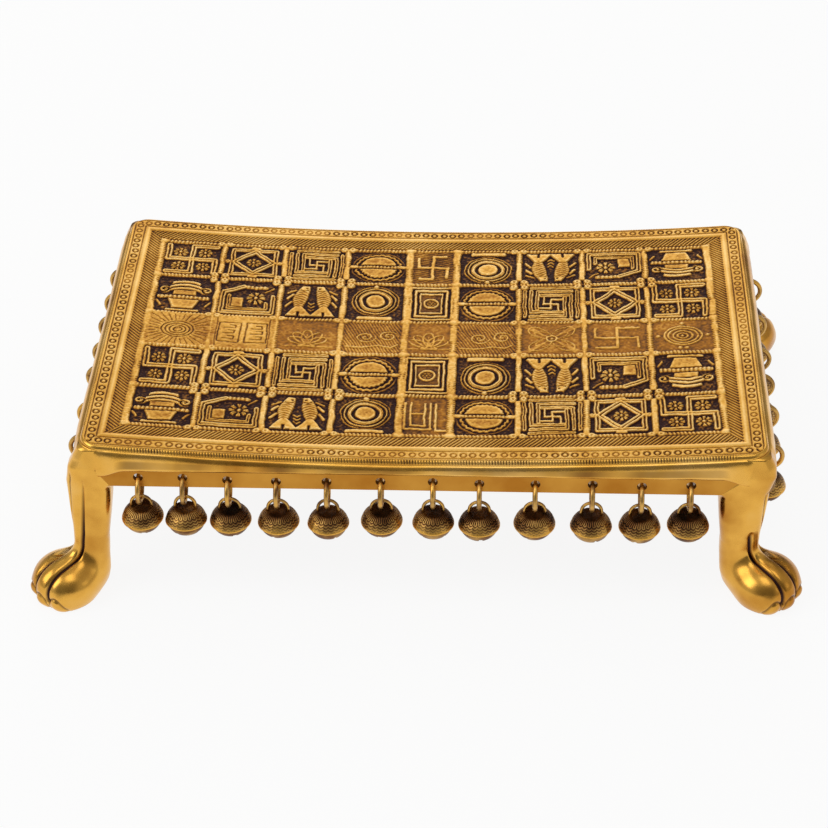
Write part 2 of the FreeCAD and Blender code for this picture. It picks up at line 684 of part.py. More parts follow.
def make_bail():
    """The wire loop on top of a bell: an arch on two straight ends."""
    arch = doc.addObject("Part::Torus", "bail_arch")
    arch.Radius1 = BAIL_RADIUS
    arch.setExpression("Radius2", "sizes.bail_wire / 2")
    arch.Angle3 = 180
    arch.Placement = place(0, 0, ARCH_CENTRE, axis=(1, 0, 0), angle=90)
    pieces = [arch]
    for number, side in enumerate((-1, 1)):
        end = doc.addObject("Part::Cylinder", f"bail_end_{number}")
        end.setExpression("Radius", "sizes.bail_wire / 2")
        end.setExpression("Height", "sizes.bail_leg")
        end.Placement = place(side * BAIL_RADIUS, 0, BELL_TOP)
        pieces.append(end)
    bail = doc.addObject("Part::MultiFuse", "bail")
    bail.Shapes = pieces
    return bail


def make_bell_pattern():
    """The four pieces of a bell, hung from the origin: the pattern for all."""
    shell = bell_shell()
    upper = make_upper_shell(shell)
    lower = make_lower_shell(shell)
    bail = make_bail()
    ball = doc.addObject("Part::Sphere", "bell_pellet")
    ball.setExpression("Radius", "sizes.pellet / 2")
    doc.recompute()
    lowered = place(0, 0, BELL_CENTRE)
    ball_level = size("pellet") / 2 + size("link_gap") - CAVITY_HALF_HEIGHT
    pieces = []
    for item, lift in ((upper, 0), (lower, 0), (ball, ball_level)):
        shape = item.Shape.copy()
        shape.Placement = lowered.multiply(place(0, 0, lift))
        pieces.append(shape)
    pieces.append(bail.Shape.copy())
    return Part.makeCompound(pieces)


def make_bell(name, pattern, x, y, z, turn):
    """One bell, hung from a point and turned about the upright."""
    bell = doc.addObject("Part::Feature", name)
    bell.Shape = pattern
    bell.Placement = place(x, y, z, angle=turn)
    bell.Label = name
    return bell


def make_ring(name, x, y, z, turn):
    """One wire ring; its plane stands square to the side it hangs from."""
    ring = doc.addObject("Part::Torus", name)
    ring.setExpression("Radius1", "(sizes.ring_width - sizes.ring_wire) / 2")
    ring.setExpression("Radius2", "sizes.ring_wire / 2")
    upright = place(x, y, z, angle=turn)
    ring.Placement = upright.multiply(place(0, 0, 0, axis=(0, 1, 0), angle=90))
    ring.Label = name
    return ring


def hanging_places():
    """Every ring: its side, number, hole's x and y, lip level and turn."""
    line_x = BAND_HALF_LENGTH - size("band_wall") / 2
    line_y = BAND_HALF_WIDTH - size("band_wall") / 2
    rows = [
        ("front", [(x, -line_y) for x in FRONT_PLACES], FRONT_RISE_SHARES, 0),
        ("rear", [(x, line_y) for x in FRONT_PLACES], FRONT_RISE_SHARES, 0),
        ("left", [(-line_x, y) for y in LEFT_PLACES], SIDE_RISE_SHARES, 90),
        ("right", [(line_x, y) for y in RIGHT_PLACES], SIDE_RISE_SHARES, 90),
    ]
    for side, spots, rises, turn in rows:
        for number, ((x, y), rise) in enumerate(zip(spots, rises), start=1):
            lip = SKIRT_BOTTOM + rise * size("band_height") - size("ring_hole") / 2
            yield side, number, x, y, lip, turn


def hang_the_bells(pattern):
    """The rings and bells on all four sides.

    The front ones are written apart. On the other sides each ring is
    written with its bell.
    """
    made = []
    for side, number, x, y, lip, turn in hanging_places():
        ring_z = lip - LIP_DROP
        tail = f"{number:02d}"
        ring = make_ring(f"{side}_ring_{tail}", x, y, ring_z, turn)
        bell = make_bell(f"{side}_bell_{tail}", pattern, x, y, ring_z - RING_INNER, turn)
        if side == "front":
            made += [ring, bell]
            continue
        both = doc.addObject("Part::Compound", f"{side}_hanger_{tail}")
        both.Links = [ring, bell]
        both.Label = both.Name
        made.append(both)
    return made


def build():
    """Make every sub-part, and give back those that are written out."""
    nodes = [make_tabletop()]
    for name, setting in LEG_SET_SHARES.items():
        nodes.append(make_leg(name, *setting))
    pattern = make_bell_pattern()
    nodes += hang_the_bells(pattern)
    doc.recompute()
    return nodes


def check(nodes):
    """Stop if any object failed or any sub-part is empty or faulty."""
    for item in doc.Objects:
        if "Invalid" in item.State or "Error" in item.State:
            raise RuntimeError(f"{item.Name} is {item.State}")
    for node in nodes:
        if node.Shape.isNull() or not node.Shape.isValid():
            raise RuntimeError(f"{node.Label} has a faulty shape")


def write(nodes):
    """Write each sub-part to its own file."""
    os.makedirs("parts", exist_ok=True)
    for node in nodes:
        node.Shape.exportStep(f"parts/{node.Label}.step")
        solids = len(node.Shape.Solids)
        print(f"{node.Label:20s} {solids} solids {node.Shape.Volume:10.1f} mm3")


all_nodes = build()
check(all_nodes)
write(all_nodes)
print(f"bell radius {BELL_RADIUS:.3f}, {len(all_nodes)} files")
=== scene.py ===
"""Looks of a small cast brass bajot: relief top, rolled skirt, paw legs, rings and bells."""
import math

import bmesh
import bpy
import numpy as np
from mathutils import Matrix, Vector


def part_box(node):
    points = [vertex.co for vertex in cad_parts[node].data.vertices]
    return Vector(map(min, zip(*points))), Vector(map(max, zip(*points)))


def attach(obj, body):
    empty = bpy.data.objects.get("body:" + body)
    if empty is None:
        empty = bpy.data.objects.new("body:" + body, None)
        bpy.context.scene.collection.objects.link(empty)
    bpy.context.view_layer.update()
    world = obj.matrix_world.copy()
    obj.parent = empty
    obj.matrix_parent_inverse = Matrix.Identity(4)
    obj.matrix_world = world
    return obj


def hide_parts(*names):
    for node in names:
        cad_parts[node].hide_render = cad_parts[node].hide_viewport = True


bl_info = {
    "name": "Bajot low table",
    "version": (1, 0, 0),
    "blender": (4, 5, 0),
    "location": "View3D > Sidebar > Bajot",
    "description": "Builds the visible pieces of a cast brass bajot on its packed frame",
    "category": "Object",
}

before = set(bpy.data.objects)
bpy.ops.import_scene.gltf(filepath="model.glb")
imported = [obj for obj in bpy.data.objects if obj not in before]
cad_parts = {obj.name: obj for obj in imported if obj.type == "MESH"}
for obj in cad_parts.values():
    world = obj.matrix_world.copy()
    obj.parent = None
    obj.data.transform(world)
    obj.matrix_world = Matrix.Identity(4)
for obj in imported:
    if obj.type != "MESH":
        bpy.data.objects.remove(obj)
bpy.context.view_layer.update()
MM = 0.001
TOP_LOW, TOP_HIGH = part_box("tabletop")


# Sizes and colours that a user would change.

def length(name, description, millimetres):
    """A length property, with its default in millimetres."""
    return bpy.props.FloatProperty(
        name=name, description=description, default=millimetres * MM,
        min=0.0, precision=5, unit="LENGTH",
    )


def colour(name, description, red, green, blue):
    """A colour property."""
    return bpy.props.FloatVectorProperty(
        name=name, description=description, default=(red, green, blue),
        min=0.0, max=1.0, size=3, subtype="COLOR",
    )


class TopSizes(bpy.types.PropertyGroup):
    """Sizes of the cast top."""

    top_level: length("Top level", "Middle of the dished top above the floor", 72.0)
    dish_rise: length("Dish rise", "Ends of the top above its middle", 6.3)
    half_length: length("Half length", "Middle of the chased top to its end", 151.0)
    half_width: length("Half width", "Middle of the chased top to its side", 92.25)
    corner: length("Corner", "Plan radius of the top's corners", 9.0)
    inset: length("Inset", "Carved surface ends this far inside the chased top", 1.7)
    step: length("Carving step", "Distance between two points of the carved surface", 0.36)
    ground: length("Ground depth", "Ground of the panels below the dished surface", 1.0)
    tile: length("Tile", "Underside of the carved surface below the dished one", 2.6)
    panels_x: length("Panels along", "Middle of the top to the outer line of columns", 133.1)
    panels_y: length("Panels across", "Middle of the top to the outer line of rows", 73.6)
    centre_column: length("Centre column", "Width of the middle column of panels", 22.8)
    row_line: length("Row line", "Middle of the top to the rope between two rows", 44.5)
    middle_row: length("Middle row", "Depth of the middle row of panels", 26.0)
    circle_pitch: length("Circle pitch", "Distance between two punched circles", 4.45)
    notch_pitch: length("Notch pitch", "Distance between two notches of the edge", 1.25)
    band_top: length("Band top", "Upper edge of the flat lower band", 65.7)
    band_step: length("Band step", "Polished roll's foot stands this far out", 0.8)
    lobe: length("Lobe", "Roll's rounded ends hang this far below its foot", 3.4)
    lobe_from: length("Lobe end", "Roll's rounded end from the top's corner", 8.0)


class LegSizes(bpy.types.PropertyGroup):
    """Sizes of a paw-footed leg."""

    proud: length("Proud", "Leg stands this far out from the band", 0.2)
    width: length("Width", "Leg along the table, at its top", 21.0)
    breadth: length("Breadth", "Leg across the table, at its top", 17.0)
    paw: length("Paw", "Half the width of a paw", 15.6)
    paw_level: length("Paw level", "Widest place of the paw above the floor", 8.2)
    paw_half: length("Paw half height", "Half the full height of the domed paw", 11.3)
    paw_out: length("Paw out", "Middle of the paw outside the band", 2.4)
    toe_reach: length("Toe reach", "Outermost toe from the middle of the paw", 16.6)


class BellSizes(bpy.types.PropertyGroup):
    """Sizes of a bell, its wire loop and its ring."""

    radius: length("Radius", "Half the width of a bell", 9.35)
    height: length("Height", "Height of a bell without its loop", 13.2)
    land: length("Land", "Radius of the flat land that the loop stands on", 5.2)
    seam: length("Seam", "Seam of the bell below its widest place", 1.9)
    wall: length("Wall", "Thickness of the bell's shells", 0.8)
    slot: length("Slot", "Width of the crossed slots", 1.9)
    bail_width: length("Loop width", "Outside width of the wire loop", 10.4)
    bail_wire: length("Loop wire", "Diameter of the loop's wire", 1.5)
    ring_width: length("Ring width", "Outside diameter of a hanging ring", 15.0)
    ring_wire: length("Ring wire", "Diameter of the ring's wire", 2.2)
    pellet: length("Pellet", "Diameter of the loose pellet", 4.2)


class Finishes(bpy.types.PropertyGroup):
    """Colours of the brass and of its patina."""

    gold: colour("Gold", "Polished brass", 0.76, 0.405, 0.070)
    # Pale gold also takes the painted highlights along the relief's edges.
    pale: colour("Pale gold", "Rubbed high places", 0.90, 0.59, 0.21)
    amber: colour("Amber", "Warm tone of the lower band", 0.42, 0.165, 0.018)
    umber: colour("Umber", "Half-tone between gold and patina", 0.17, 0.070, 0.022)
    # Real patina in the relief's ground and the leg grooves; also the colour of painted shade in
    # the relief's crevices and of the painted dark reflection on the roll.
    patina_and_painted_shade_tone: colour("Patina", "Dark ground of the relief", 0.045, 0.020, 0.018)
    wire: colour("Wire", "Drawn wire of the rings", 0.58, 0.34, 0.095)
    smoke: colour("Smoke", "Darkest tone of the bells", 0.014, 0.009, 0.006)
    floor: colour("Floor", "Plain pale floor", 0.90, 0.90, 0.89)


GROUPS = {
    "bajot_top": TopSizes, "bajot_leg": LegSizes,
    "bajot_bell": BellSizes, "bajot_finish": Finishes,
}


def top():
    """The sizes of the top."""
    return bpy.context.scene.bajot_top


def leg():
    """The sizes of a leg."""
    return bpy.context.scene.bajot_leg


def bell():
    """The sizes of a bell."""
    return bpy.context.scene.bajot_bell


def tone(name):
    """One of the finish colours, with full opacity."""
    return (*getattr(bpy.context.scene.bajot_finish, name), 1.0)


# Shapes shared by several pieces.

def smooth(t):
    """A soft step from 0 to 1."""
    t = np.clip(t, 0.0, 1.0)
    return t * t * (3.0 - 2.0 * t)


def dish(x):
    """Level of the dished surface at a distance x from the middle."""
    half = top().half_length
    radius = (half**2 + top().dish_rise**2) / (2.0 * top().dish_rise)
    return top().top_level + radius - np.sqrt(radius**2 - x**2)


def mottle(seed, x, y, pitch):
    """Smooth random values from -1 to 1, changing over about a pitch."""
    table = np.random.default_rng(seed).uniform(-1.0, 1.0, (64, 64))
    gx = np.abs(np.asarray(x) / pitch + 640.0)
    gy = np.abs(np.asarray(y) / pitch + 640.0)
    ix = np.floor(gx).astype(int)
    iy = np.floor(gy).astype(int)
    fx = smooth(gx - ix)
    fy = smooth(gy - iy)
    low = table[ix % 64, iy % 64] * (1 - fx) + table[(ix + 1) % 64, iy % 64] * fx
    high = table[ix % 64, (iy + 1) % 64] * (1 - fx)
    high += table[(ix + 1) % 64, (iy + 1) % 64] * fx
    return low * (1 - fy) + high * fy


def finished(bm, name, material, body="root", flat=False):
    """Turn a bmesh into a piece that rides on a body."""
    mesh = bpy.data.meshes.new(name)
    bm.to_mesh(mesh)
    bm.free()
    if not flat:
        mesh.shade_smooth()
    piece = bpy.data.objects.new(name, mesh)
    bpy.context.scene.collection.objects.link(piece)
    for each in material if isinstance(material, (list, tuple)) else [material]:
        mesh.materials.append(each)
    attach(piece, body)
    return piece


def set_attribute(mesh, name, values):
    """Store one number for each vertex under a name."""
    layer = mesh.attributes.new(name, "FLOAT", "POINT")
    layer.data.foreach_set("value", np.asarray(values, dtype=np.float32).ravel())


# The carving of the top. Panels are drawn in millimetres about their middle.

class Carving:
    """A patch of the top that raised lines and shapes are added to."""

    def __init__(self, u, v):
        self.u = u
        self.v = v
        self.h = np.zeros_like(u)

    def reach(self, x, y, tall=1.0):
        """Distance of every place from a point, shortened upright by a factor."""
        return np.hypot(self.u - x, (self.v - y) / tall)

    def to_line(self, start, end):
        """Distance of every place from a straight stroke."""
        ax, ay = start
        dx, dy = end[0] - ax, end[1] - ay
        along = ((self.u - ax) * dx + (self.v - ay) * dy) / max(dx * dx + dy * dy, 1e-9)
        along = np.clip(along, 0.0, 1.0)
        return np.hypot(self.u - ax - along * dx, self.v - ay - along * dy)

    def to_path(self, points):
        """Distance of every place from a stroke through several points."""
        near = self.to_line(points[0], points[1])
        for start, end in zip(points[1:], points[2:]):
            near = np.minimum(near, self.to_line(start, end))
        return near

    def add(self, height):
        """Raise the patch to a height where that is higher."""
        np.maximum(self.h, height, out=self.h)

    def ridge(self, distance, wide, high):
        """A rounded ridge with a worn flat crown along a distance of nothing."""
        self.add(high * smooth(1.9 * (1.0 - np.abs(distance) / (wide * 0.60))))

    def path(self, points, wide=1.1, high=0.8):
        """A ridge along a stroke."""
        self.ridge(self.to_path(points), wide, high)

    def double(self, points, wide=2.5, high=0.85):
        """Two ridges side by side along a stroke."""
        distance = self.to_path(points)
        self.ridge(distance - wide * 0.30, wide * 0.50, high)

    def flat(self, distance, high):
        """A plateau inside a distance, with a soft edge."""
        self.add(high * smooth(distance / 0.6 + 0.5))

    def ring(self, x, y, radius, wide=1.2, high=0.7):
        """A round ridge."""
        self.ridge(self.reach(x, y) - radius, wide, high)

    def ball(self, x, y, radius, high=1.1, dimple=0.0):
        """A round button, with a dimple if one is asked for."""
        reach = self.reach(x, y)
        dome = high * np.sqrt(np.clip(1.0 - (reach / radius) ** 2, 0.0, 1.0))
        if dimple:
            dome = dome - dimple * smooth(1.0 - reach / (radius * 0.42))
        self.add(dome)

    def flower(self, x, y, radius, petals=8, high=0.8):
        """Petals round a point, each with a crease along its middle."""
        reach = self.reach(x, y)
        turn = np.arctan2(self.v - y, self.u - x)
        lobe = np.abs(np.cos(turn * petals / 2.0))
        petal = smooth(1.7 * lobe - 0.55) - 0.42 * smooth(6.0 * lobe - 5.0)
        window = smooth((reach - 0.22 * radius) / (0.25 * radius))
        window = window * smooth((radius - reach) / (0.22 * radius))
        self.add(high * petal * window)
        self.ball(x, y, 0.24 * radius, high)

    def rope(self, x0, y0, x1, y1, wide=2.1, high=1.0, pitch=1.45, slant=0.0):
        """A row of beads along a straight stroke."""
        distance = self.to_line((x0, y0), (x1, y1))
        run = math.hypot(x1 - x0, y1 - y0)
        along = ((self.u - x0) * (x1 - x0) + (self.v - y0) * (y1 - y0)) / run
        across = ((self.v - y0) * (x1 - x0) - (self.u - x0) * (y1 - y0)) / run
        bead = np.abs(np.sin(math.pi * (along + slant * across) / pitch)) ** 0.7
        round_off = np.sqrt(np.clip(1.0 - (distance / (wide / 2.0)) ** 2, 0.0, 1.0))
        self.add(high * round_off * (0.45 + 0.55 * bead))

    def cut(self, distance, wide, deep):
        """An engraved line along a distance of nothing."""
        self.h -= deep * smooth(1.25 * (1.0 - np.abs(distance) / (wide / 2.0)))


def quarter_turns(points):
    """A stroke and its three copies, each turned by a quarter."""
    turned = [list(points)]
    for _ in range(3):
        turned.append([(y, -x) for x, y in turned[-1]])
    return turned


def swirl_panel(p):
    """The turning cross of doubled ridges, with a flower in each quarter."""
    arm = 11.6
    for stroke in quarter_turns([(0, 0), (0, arm), (arm, arm)]):
        p.double(stroke, wide=2.9)
    for x, y in ((6.1, 6.1), (6.1, -6.1), (-6.1, -6.1), (-6.1, 6.1)):
        p.flower(x, y, 4.0)


def diamond_panel(p):
    """A doubled square and diamond round a flower, with knobs at its sides."""
    half = 10.6
    square = [(-half, -half), (half, -half), (half, half), (-half, half), (-half, -half)]
    p.double(square, wide=2.6)
    tip = half - 1.0
    p.double([(-tip, 0), (0, tip), (tip, 0), (0, -tip), (-tip, 0)], wide=2.7, high=0.95)
    p.flower(0, 0, 3.9)
    for side in (-1, 1):
        p.ball(side * 12.9, 0, 1.7, dimple=0.4)
        p.path([(-1.7, side * 12.3), (1.7, side * 12.3)], wide=2.2, high=0.9)


def maze_panel(p):
    """A square spiral of four arms round a small turning cross."""
    d1, d2, d3, d4 = 3.4, 6.5, 9.6, 12.5
    for arm in quarter_turns([(0, 0), (0, d1), (d2 - 1.1, d1)]):
        p.path(arm, wide=1.3)
    for arm in quarter_turns([(d2, d1 + 1.4), (d2, -d3), (-d4 + 2.6, -d3)]):
        p.double(arm, wide=2.1)
    for arm in quarter_turns([(-d3, d4), (d4 - 2.4, d4)]):
        p.double(arm, wide=1.9)


def drum_panel(p):
    """Two halves of a disc with a beaded bar between them and scalloped arcs."""
    reach = p.reach(0, 0, 1.0)
    turn = np.arctan2(p.v, p.u)
    p.flat(9.0 + 0.25 * np.cos(26 * turn) * (p.v < 0) - reach, 0.85)
    p.h *= smooth((np.abs(p.v) - 1.6) / 0.5)
    p.ridge(reach - 10.9 - 0.3 * np.cos(22 * turn), 1.4, 0.6)
    p.ridge(reach - 12.9, 0.9, 0.35)
    p.h *= smooth((np.abs(p.v) - 1.2) / 0.5)
    p.rope(-11.4, 0, 11.4, 0, wide=2.3, pitch=1.7)
    for side in (-1, 1):
        p.path([(side * 11.4, 0), (side * 13.2, 0)], wide=2.8, high=0.95)


def mirror_panel(p):
    """A round mirror in doubled rings, with a knob above and a bar below."""
    reach = p.reach(0, 1.2)
    p.flat(4.7 - reach, 0.9)
    p.ridge(reach - 7.2, 2.2, 0.85)
    p.cut(reach - 7.5, 0.6, 0.3)
    p.ridge(reach - 9.6, 0.9, 0.7)
    p.ridge(reach - 11.3, 0.8, 0.45)
    p.ball(0, 12.2, 1.6)
    p.path([(-7.6, -12.3), (7.6, -12.3)], wide=2.6, high=0.95)


def fish_panel(p):
    """Two upright scaled fish that face each other."""
    for side in (-1, 1):
        x = side * p.u
        t = (11.8 - p.v) / 21.0
        spine = 3.2 + 2.6 * t + 1.2 * np.sin(math.pi * t)
        girth = 2.1 + 1.9 * np.sin(math.pi * np.clip(t * 1.15, 0.0, 1.0))
        girth = np.where(t > 0.80, 2.2 + 14.0 * (t - 0.80), girth)
        inside = girth - np.abs(x - spine)
        body = np.minimum(inside, 11.8 - p.v) + np.where(p.v < -12.2, -9.0, 0.0)
        scale = 0.5 + 0.5 * np.sin(2 * math.pi * (p.v + 0.5 * np.abs(x - spine)) / 1.75)
        scale = np.where((t > 0.20) & (t < 0.82), scale, 1.0)
        p.add((0.62 + 0.30 * scale) * smooth(body / 1.1))
        p.h -= 0.7 * smooth(1.0 - np.hypot(x - 3.0, p.v - 9.4) / 0.95) * (x > 0)
        p.h -= 0.6 * smooth(1.0 - np.abs(p.v - 7.4 - 0.2 * (x - 4.0) ** 2) / 0.45) \
            * (x > 2.0) * (x < 6.2) * smooth(body / 0.6)
        p.h -= 0.9 * smooth(1.0 - p.to_line((side * 5.9, -9.6), (side * 5.9, -13.0)) / 0.9)
        p.path([(side * 9.2, 4.6), (side * 11.6, 1.6)], wide=1.6, high=0.7)
        p.path([(side * 9.6, -1.0), (side * 12.0, -4.4)], wide=1.5, high=0.65)
        p.path([(side * 8.0, 8.2), (side * 11.8, 6.0)], wide=1.2, high=0.5)
    for low in (-1.5, -4.0, -6.5):
        p.path([(-1.5, low), (0, low - 1.3), (1.5, low)], wide=0.9, high=0.5)


def casket_panel(p):
    """A hooked box in doubled lines, with a lid and a large flower."""
    box = [(-2.5, 8.6), (-12.3, 4.0), (-12.3, -11.6), (12.0, -11.6), (12.0, 1.5)]
    p.double(box, wide=2.5)
    p.double([(-9.3, 1.5), (-9.3, -8.4), (8.8, -8.4), (8.8, -3.5)], wide=2.0, high=0.7)
    p.flat(np.minimum(2.9 - np.abs(p.u + 5.0), 3.4 - np.abs(p.v + 3.4)), 0.75)
    p.rope(-1.4, 8.6, 7.6, 8.6, wide=2.7, pitch=1.9)
    p.flower(3.9, 0.2, 5.0, high=0.9)
    p.path([(7.8, 5.2), (11.6, 8.6)], wide=1.1, high=0.4)


def pot_panel(p):
    """A footed pot with a rim, stacked bands and a curl at each side."""
    v = p.v
    p.flat(np.minimum(7.4 + 0.35 * (v + 4.0) - np.abs(p.u), 3.3 - np.abs(v + 7.2)), 0.85)
    p.path([(-7.6, -12.2), (7.6, -12.2)], wide=1.5, high=0.75)
    p.rope(-11.4, -2.2, 11.4, -2.2, wide=2.8, pitch=2.0)
    p.flat(np.minimum(5.6 - np.abs(p.u), 1.6 - np.abs(v - 1.4)), 0.7)
    bow = 0.028 * p.u**2
    p.ridge(np.maximum(np.abs(v - 4.6 + bow), np.abs(p.u) - 6.4), 1.6, 0.8)
    p.ridge(np.maximum(np.abs(v - 7.0 + bow), np.abs(p.u) - 7.2), 1.6, 0.9)
    p.ridge(np.maximum(np.abs(v - 9.6 + bow), np.abs(p.u) - 6.0), 1.8, 0.85)
    for side in (-1, 1):
        reach = p.reach(side * 10.0, 3.6, 0.8)
        turn = np.arctan2(v - 3.6, side * (p.u - side * 10.0))
        p.ridge((reach - 0.9 - 0.42 * turn) % 2.1 - 1.0, 1.2, 0.7 * smooth(3.6 - reach))
        p.path([(side * 12.6, -5.2), (side * 10.6, -8.4)], wide=1.3, high=0.5)


BLOCK = (
    (swirl_panel, diamond_panel, maze_panel, drum_panel),
    (pot_panel, casket_panel, fish_panel, mirror_panel),
)


def plain(p, high=0.85):
    """Raise the whole patch, so that lines can be engraved in it."""
    p.add(np.full_like(p.u, high))


def sun_panel(p):
    """Engraved rings with rays."""
    plain(p)
    reach = p.reach(0, 0)
    turn = np.arctan2(p.v, p.u)
    for radius in (1.9, 3.7, 5.6, 7.4):
        p.cut(reach - radius, 0.85, 0.4)
    rays = np.abs(np.sin(turn * 16.0)) * reach / 16.0 * 2.0
    p.h -= 0.35 * smooth(1.0 - rays / 0.5) * smooth((reach - 8.3) / 0.5)


def fret_panel(p):
    """Two small framed frets side by side."""
    plain(p)
    for side in (-1, 1):
        x = side * 6.4
        frame_path = [(x - 5, -9), (x + 5, -9), (x + 5, 9), (x - 5, 9), (x - 5, -9)]
        p.cut(p.to_path(frame_path), 0.8, 0.4)
        for low in (-6.0, -1.0, 4.0):
            hook = [(x - 2.6, low), (x + 2.6, low), (x + 2.6, low + 2.6), (x, low + 2.6)]
            p.cut(p.to_path(hook), 0.8, 0.38)
    p.cut(np.abs(p.u) - 12.4, 0.7, 0.3)


def lotus_panel(p):
    """An open lotus on its leaves."""
    plain(p, 0.62)
    for lean, long in ((0.0, 12.5), (0.55, 12.0), (-0.55, 12.0), (1.0, 10.5), (-1.0, 10.5)):
        c, s = math.cos(lean), math.sin(lean)
        along = (p.u * s + (p.v + 7.5) * c) / long
        across = p.u * c - (p.v + 7.5) * s
        girth = 2.5 * np.sqrt(np.clip(4 * along * (1 - along), 0.0, 1.0))
        p.ridge(np.where((along > 0) & (along < 1), np.abs(across) - girth, 9.0), 1.2, 0.85)
        p.ridge(np.where((along > 0.1) & (along < 0.75), across, 9.0), 0.8, 0.75)
    p.path([(-3.2, -9.4), (3.2, -9.4)], wide=2.4, high=0.85)
    for side in (-1, 1):
        p.path([(side * 5.0, -9.6), (side * 12.0, -9.6)], wide=1.3, high=0.75)


def scroll_panel(p):
    """A curled tendril on a hatched ground."""
    plain(p, 0.60)
    p.h += 0.12 * np.sin(2 * math.pi * (p.u + 0.4 * p.v) / 1.5)
    for x, y, way in ((-3.0, 0.5, 1), (7.6, 1.2, -1)):
        reach = p.reach(x, y)
        turn = way * np.arctan2(p.v - y, p.u - x)
        gap = (reach - 1.2 - 0.42 * turn) % 2.65 - 1.3
        p.ridge(gap, 1.1, 0.9 * smooth(5.6 - reach))
    p.path([(-12.0, -8.6), (-5.0, -9.2), (3.0, -7.4), (9.0, -8.6), (12.2, -6.0)], 1.3, 0.85)


def blossom_panel(p):
    """Four broad petals to the corners round a ringed heart."""
    plain(p, 0.60)
    turn = np.arctan2(p.v, p.u)
    reach = p.reach(0, 0)
    lobe = np.abs(np.sin(2.0 * turn))
    edge = 3.2 + 11.0 * lobe**1.5
    p.ridge(reach - edge, 1.4, 0.85)
    p.ridge(reach - edge * 0.66 - 0.5, 1.1, 0.75)
    p.ridge(np.where(reach > 3.0, (lobe - 1.0) * 22.0, 9.0), 1.5, 0.75)
    p.ring(0, 0, 2.6, wide=1.3, high=0.95)
    p.ball(0, 0, 1.2)


def cross_panel(p):
    """The turning cross in one raised line on a dotted ground."""
    plain(p, 0.55)
    for stroke in quarter_turns([(0, 0), (0, 9.0), (9.0, 9.0)]):
        p.path([(x * 1.1, y) for x, y in stroke], wide=1.9, high=0.85)


def wheel_panel(p):
    """Rings with a ball at each side on a dotted ground."""
    plain(p, 0.55)
    for radius in (2.2, 4.4, 6.8, 8.6):
        p.ring(0, 0, radius, wide=1.3, high=0.85)
    p.ball(0, 0, 1.0)
    for x, y in ((-11.4, 0), (11.4, 0), (-1.4, -11.2), (1.4, -11.2), (0, 11.2)):
        p.ball(x, y, 1.5, high=0.95)


def thin_cross_panel(p):
    """A slim turning cross on a hatched ground, for the centre column."""
    plain(p, 0.48)
    p.h += 0.14 * np.sin(2 * math.pi * (p.v + 0.25 * p.u) / 1.6)
    for stroke in quarter_turns([(0, 0), (0, 7.8), (6.6, 7.8)]):
        p.path([(x * 0.9, y * 1.25) for x, y in stroke], wide=2.1, high=0.95)


def nested_panel(p):
    """Squares within squares round a small wheel."""
    for half_u, half_v, wide in ((9.6, 12.4, 1.3), (7.4, 10.0, 1.6), (5.2, 7.4, 1.1)):
        corners = [(-half_u, -half_v), (half_u, -half_v), (half_u, half_v)]
        corners += [(-half_u, half_v), (-half_u, -half_v)]
        p.path(corners, wide=wide, high=0.85)
    p.flat(5.0 - np.maximum(np.abs(p.u), np.abs(p.v) / 1.4), 0.35)
    p.ring(0, 0, 3.4, wide=1.3, high=0.85)
    p.flower(0, 0, 2.6, petals=6)


def stepped_panel(p):
    """Stepped lines and a dotted field, for the front of the centre column."""
    plain(p, 0.48)
    for inset in (0.0, 2.6):
        corner = [(-9.0 + inset, 9.5), (-9.0 + inset, -10.0 + inset), (2.5 - inset, -10.0 + inset)]
        p.path(corner + [(2.5 - inset, 9.5)], wide=1.5, high=0.9)
    p.path([(5.0, 9.0), (5.0, -11.0), (9.4, -11.0)], wide=1.6, high=0.9)
    p.path([(-5.4, 1.5), (0.0, 1.5)], wide=1.4, high=0.8)


MIDDLE_ROW = (
    sun_panel, fret_panel, lotus_panel, scroll_panel, lotus_panel,
    scroll_panel, blossom_panel, cross_panel, wheel_panel,
)
CENTRE_COLUMN = (thin_cross_panel, nested_panel, lotus_panel, nested_panel, stepped_panel)


def grid_lines():
    """Lines between the columns and between the rows, in millimetres."""
    outer_x = top().panels_x / MM
    outer_y = top().panels_y / MM
    centre = top().centre_column / MM / 2.0
    pitch = (outer_x - centre) / 4.0
    right = [centre + pitch * n for n in range(5)]
    columns = [-x for x in reversed(right)] + right
    rows = [outer_y, top().row_line / MM, top().middle_row / MM / 2.0]
    rows += [-y for y in reversed(rows)]
    return columns, rows


def panel_maker(column, row):
    """What is carved in a panel, and whether it is turned upside down."""
    if column == 4:
        return CENTRE_COLUMN[row], False
    if row == 2:
        return MIDDLE_ROW[column], False
    pair = row % 3
    if column < 4:
        return BLOCK[pair][column], False
    return BLOCK[1 - pair][8 - column], True


def hand_shaken(x, y):
    """Places moved a little, so that no line is as straight as a ruler."""
    across = 0.34 * mottle(51, x, y, 5.5) + 0.16 * mottle(52, x, y, 1.9)
    along = 0.30 * mottle(53, x, y, 6.0) + 0.16 * mottle(54, x, y, 2.1)
    return x + across, y + along


def carve_panels(x, y, height):
    """Carve every panel into the height of the top."""
    columns, rows = grid_lines()
    half_u = 13.6
    for row in range(5):
        for column in range(9):
            west, east = columns[column], columns[column + 1]
            north, south = rows[row], rows[row + 1]
            i = np.flatnonzero((x > west) & (x < east))
            j = np.flatnonzero((y > south) & (y < north))
            u, v = np.meshgrid(x[i], y[j], indexing="ij")
            u, v = hand_shaken(u, v)
            u = u - (west + east) / 2.0
            v = (v - (north + south) / 2.0) * 2.0 * half_u / (north - south - 2.8)
            make, turned = panel_maker(column, row)
            if column != 4:
                u = u * 2.0 * half_u / (east - west - 3.4)
            if turned:
                u, v = -u, -v
            patch = Carving(u, v)
            make(patch)
            height[np.ix_(i, j)] = patch.h


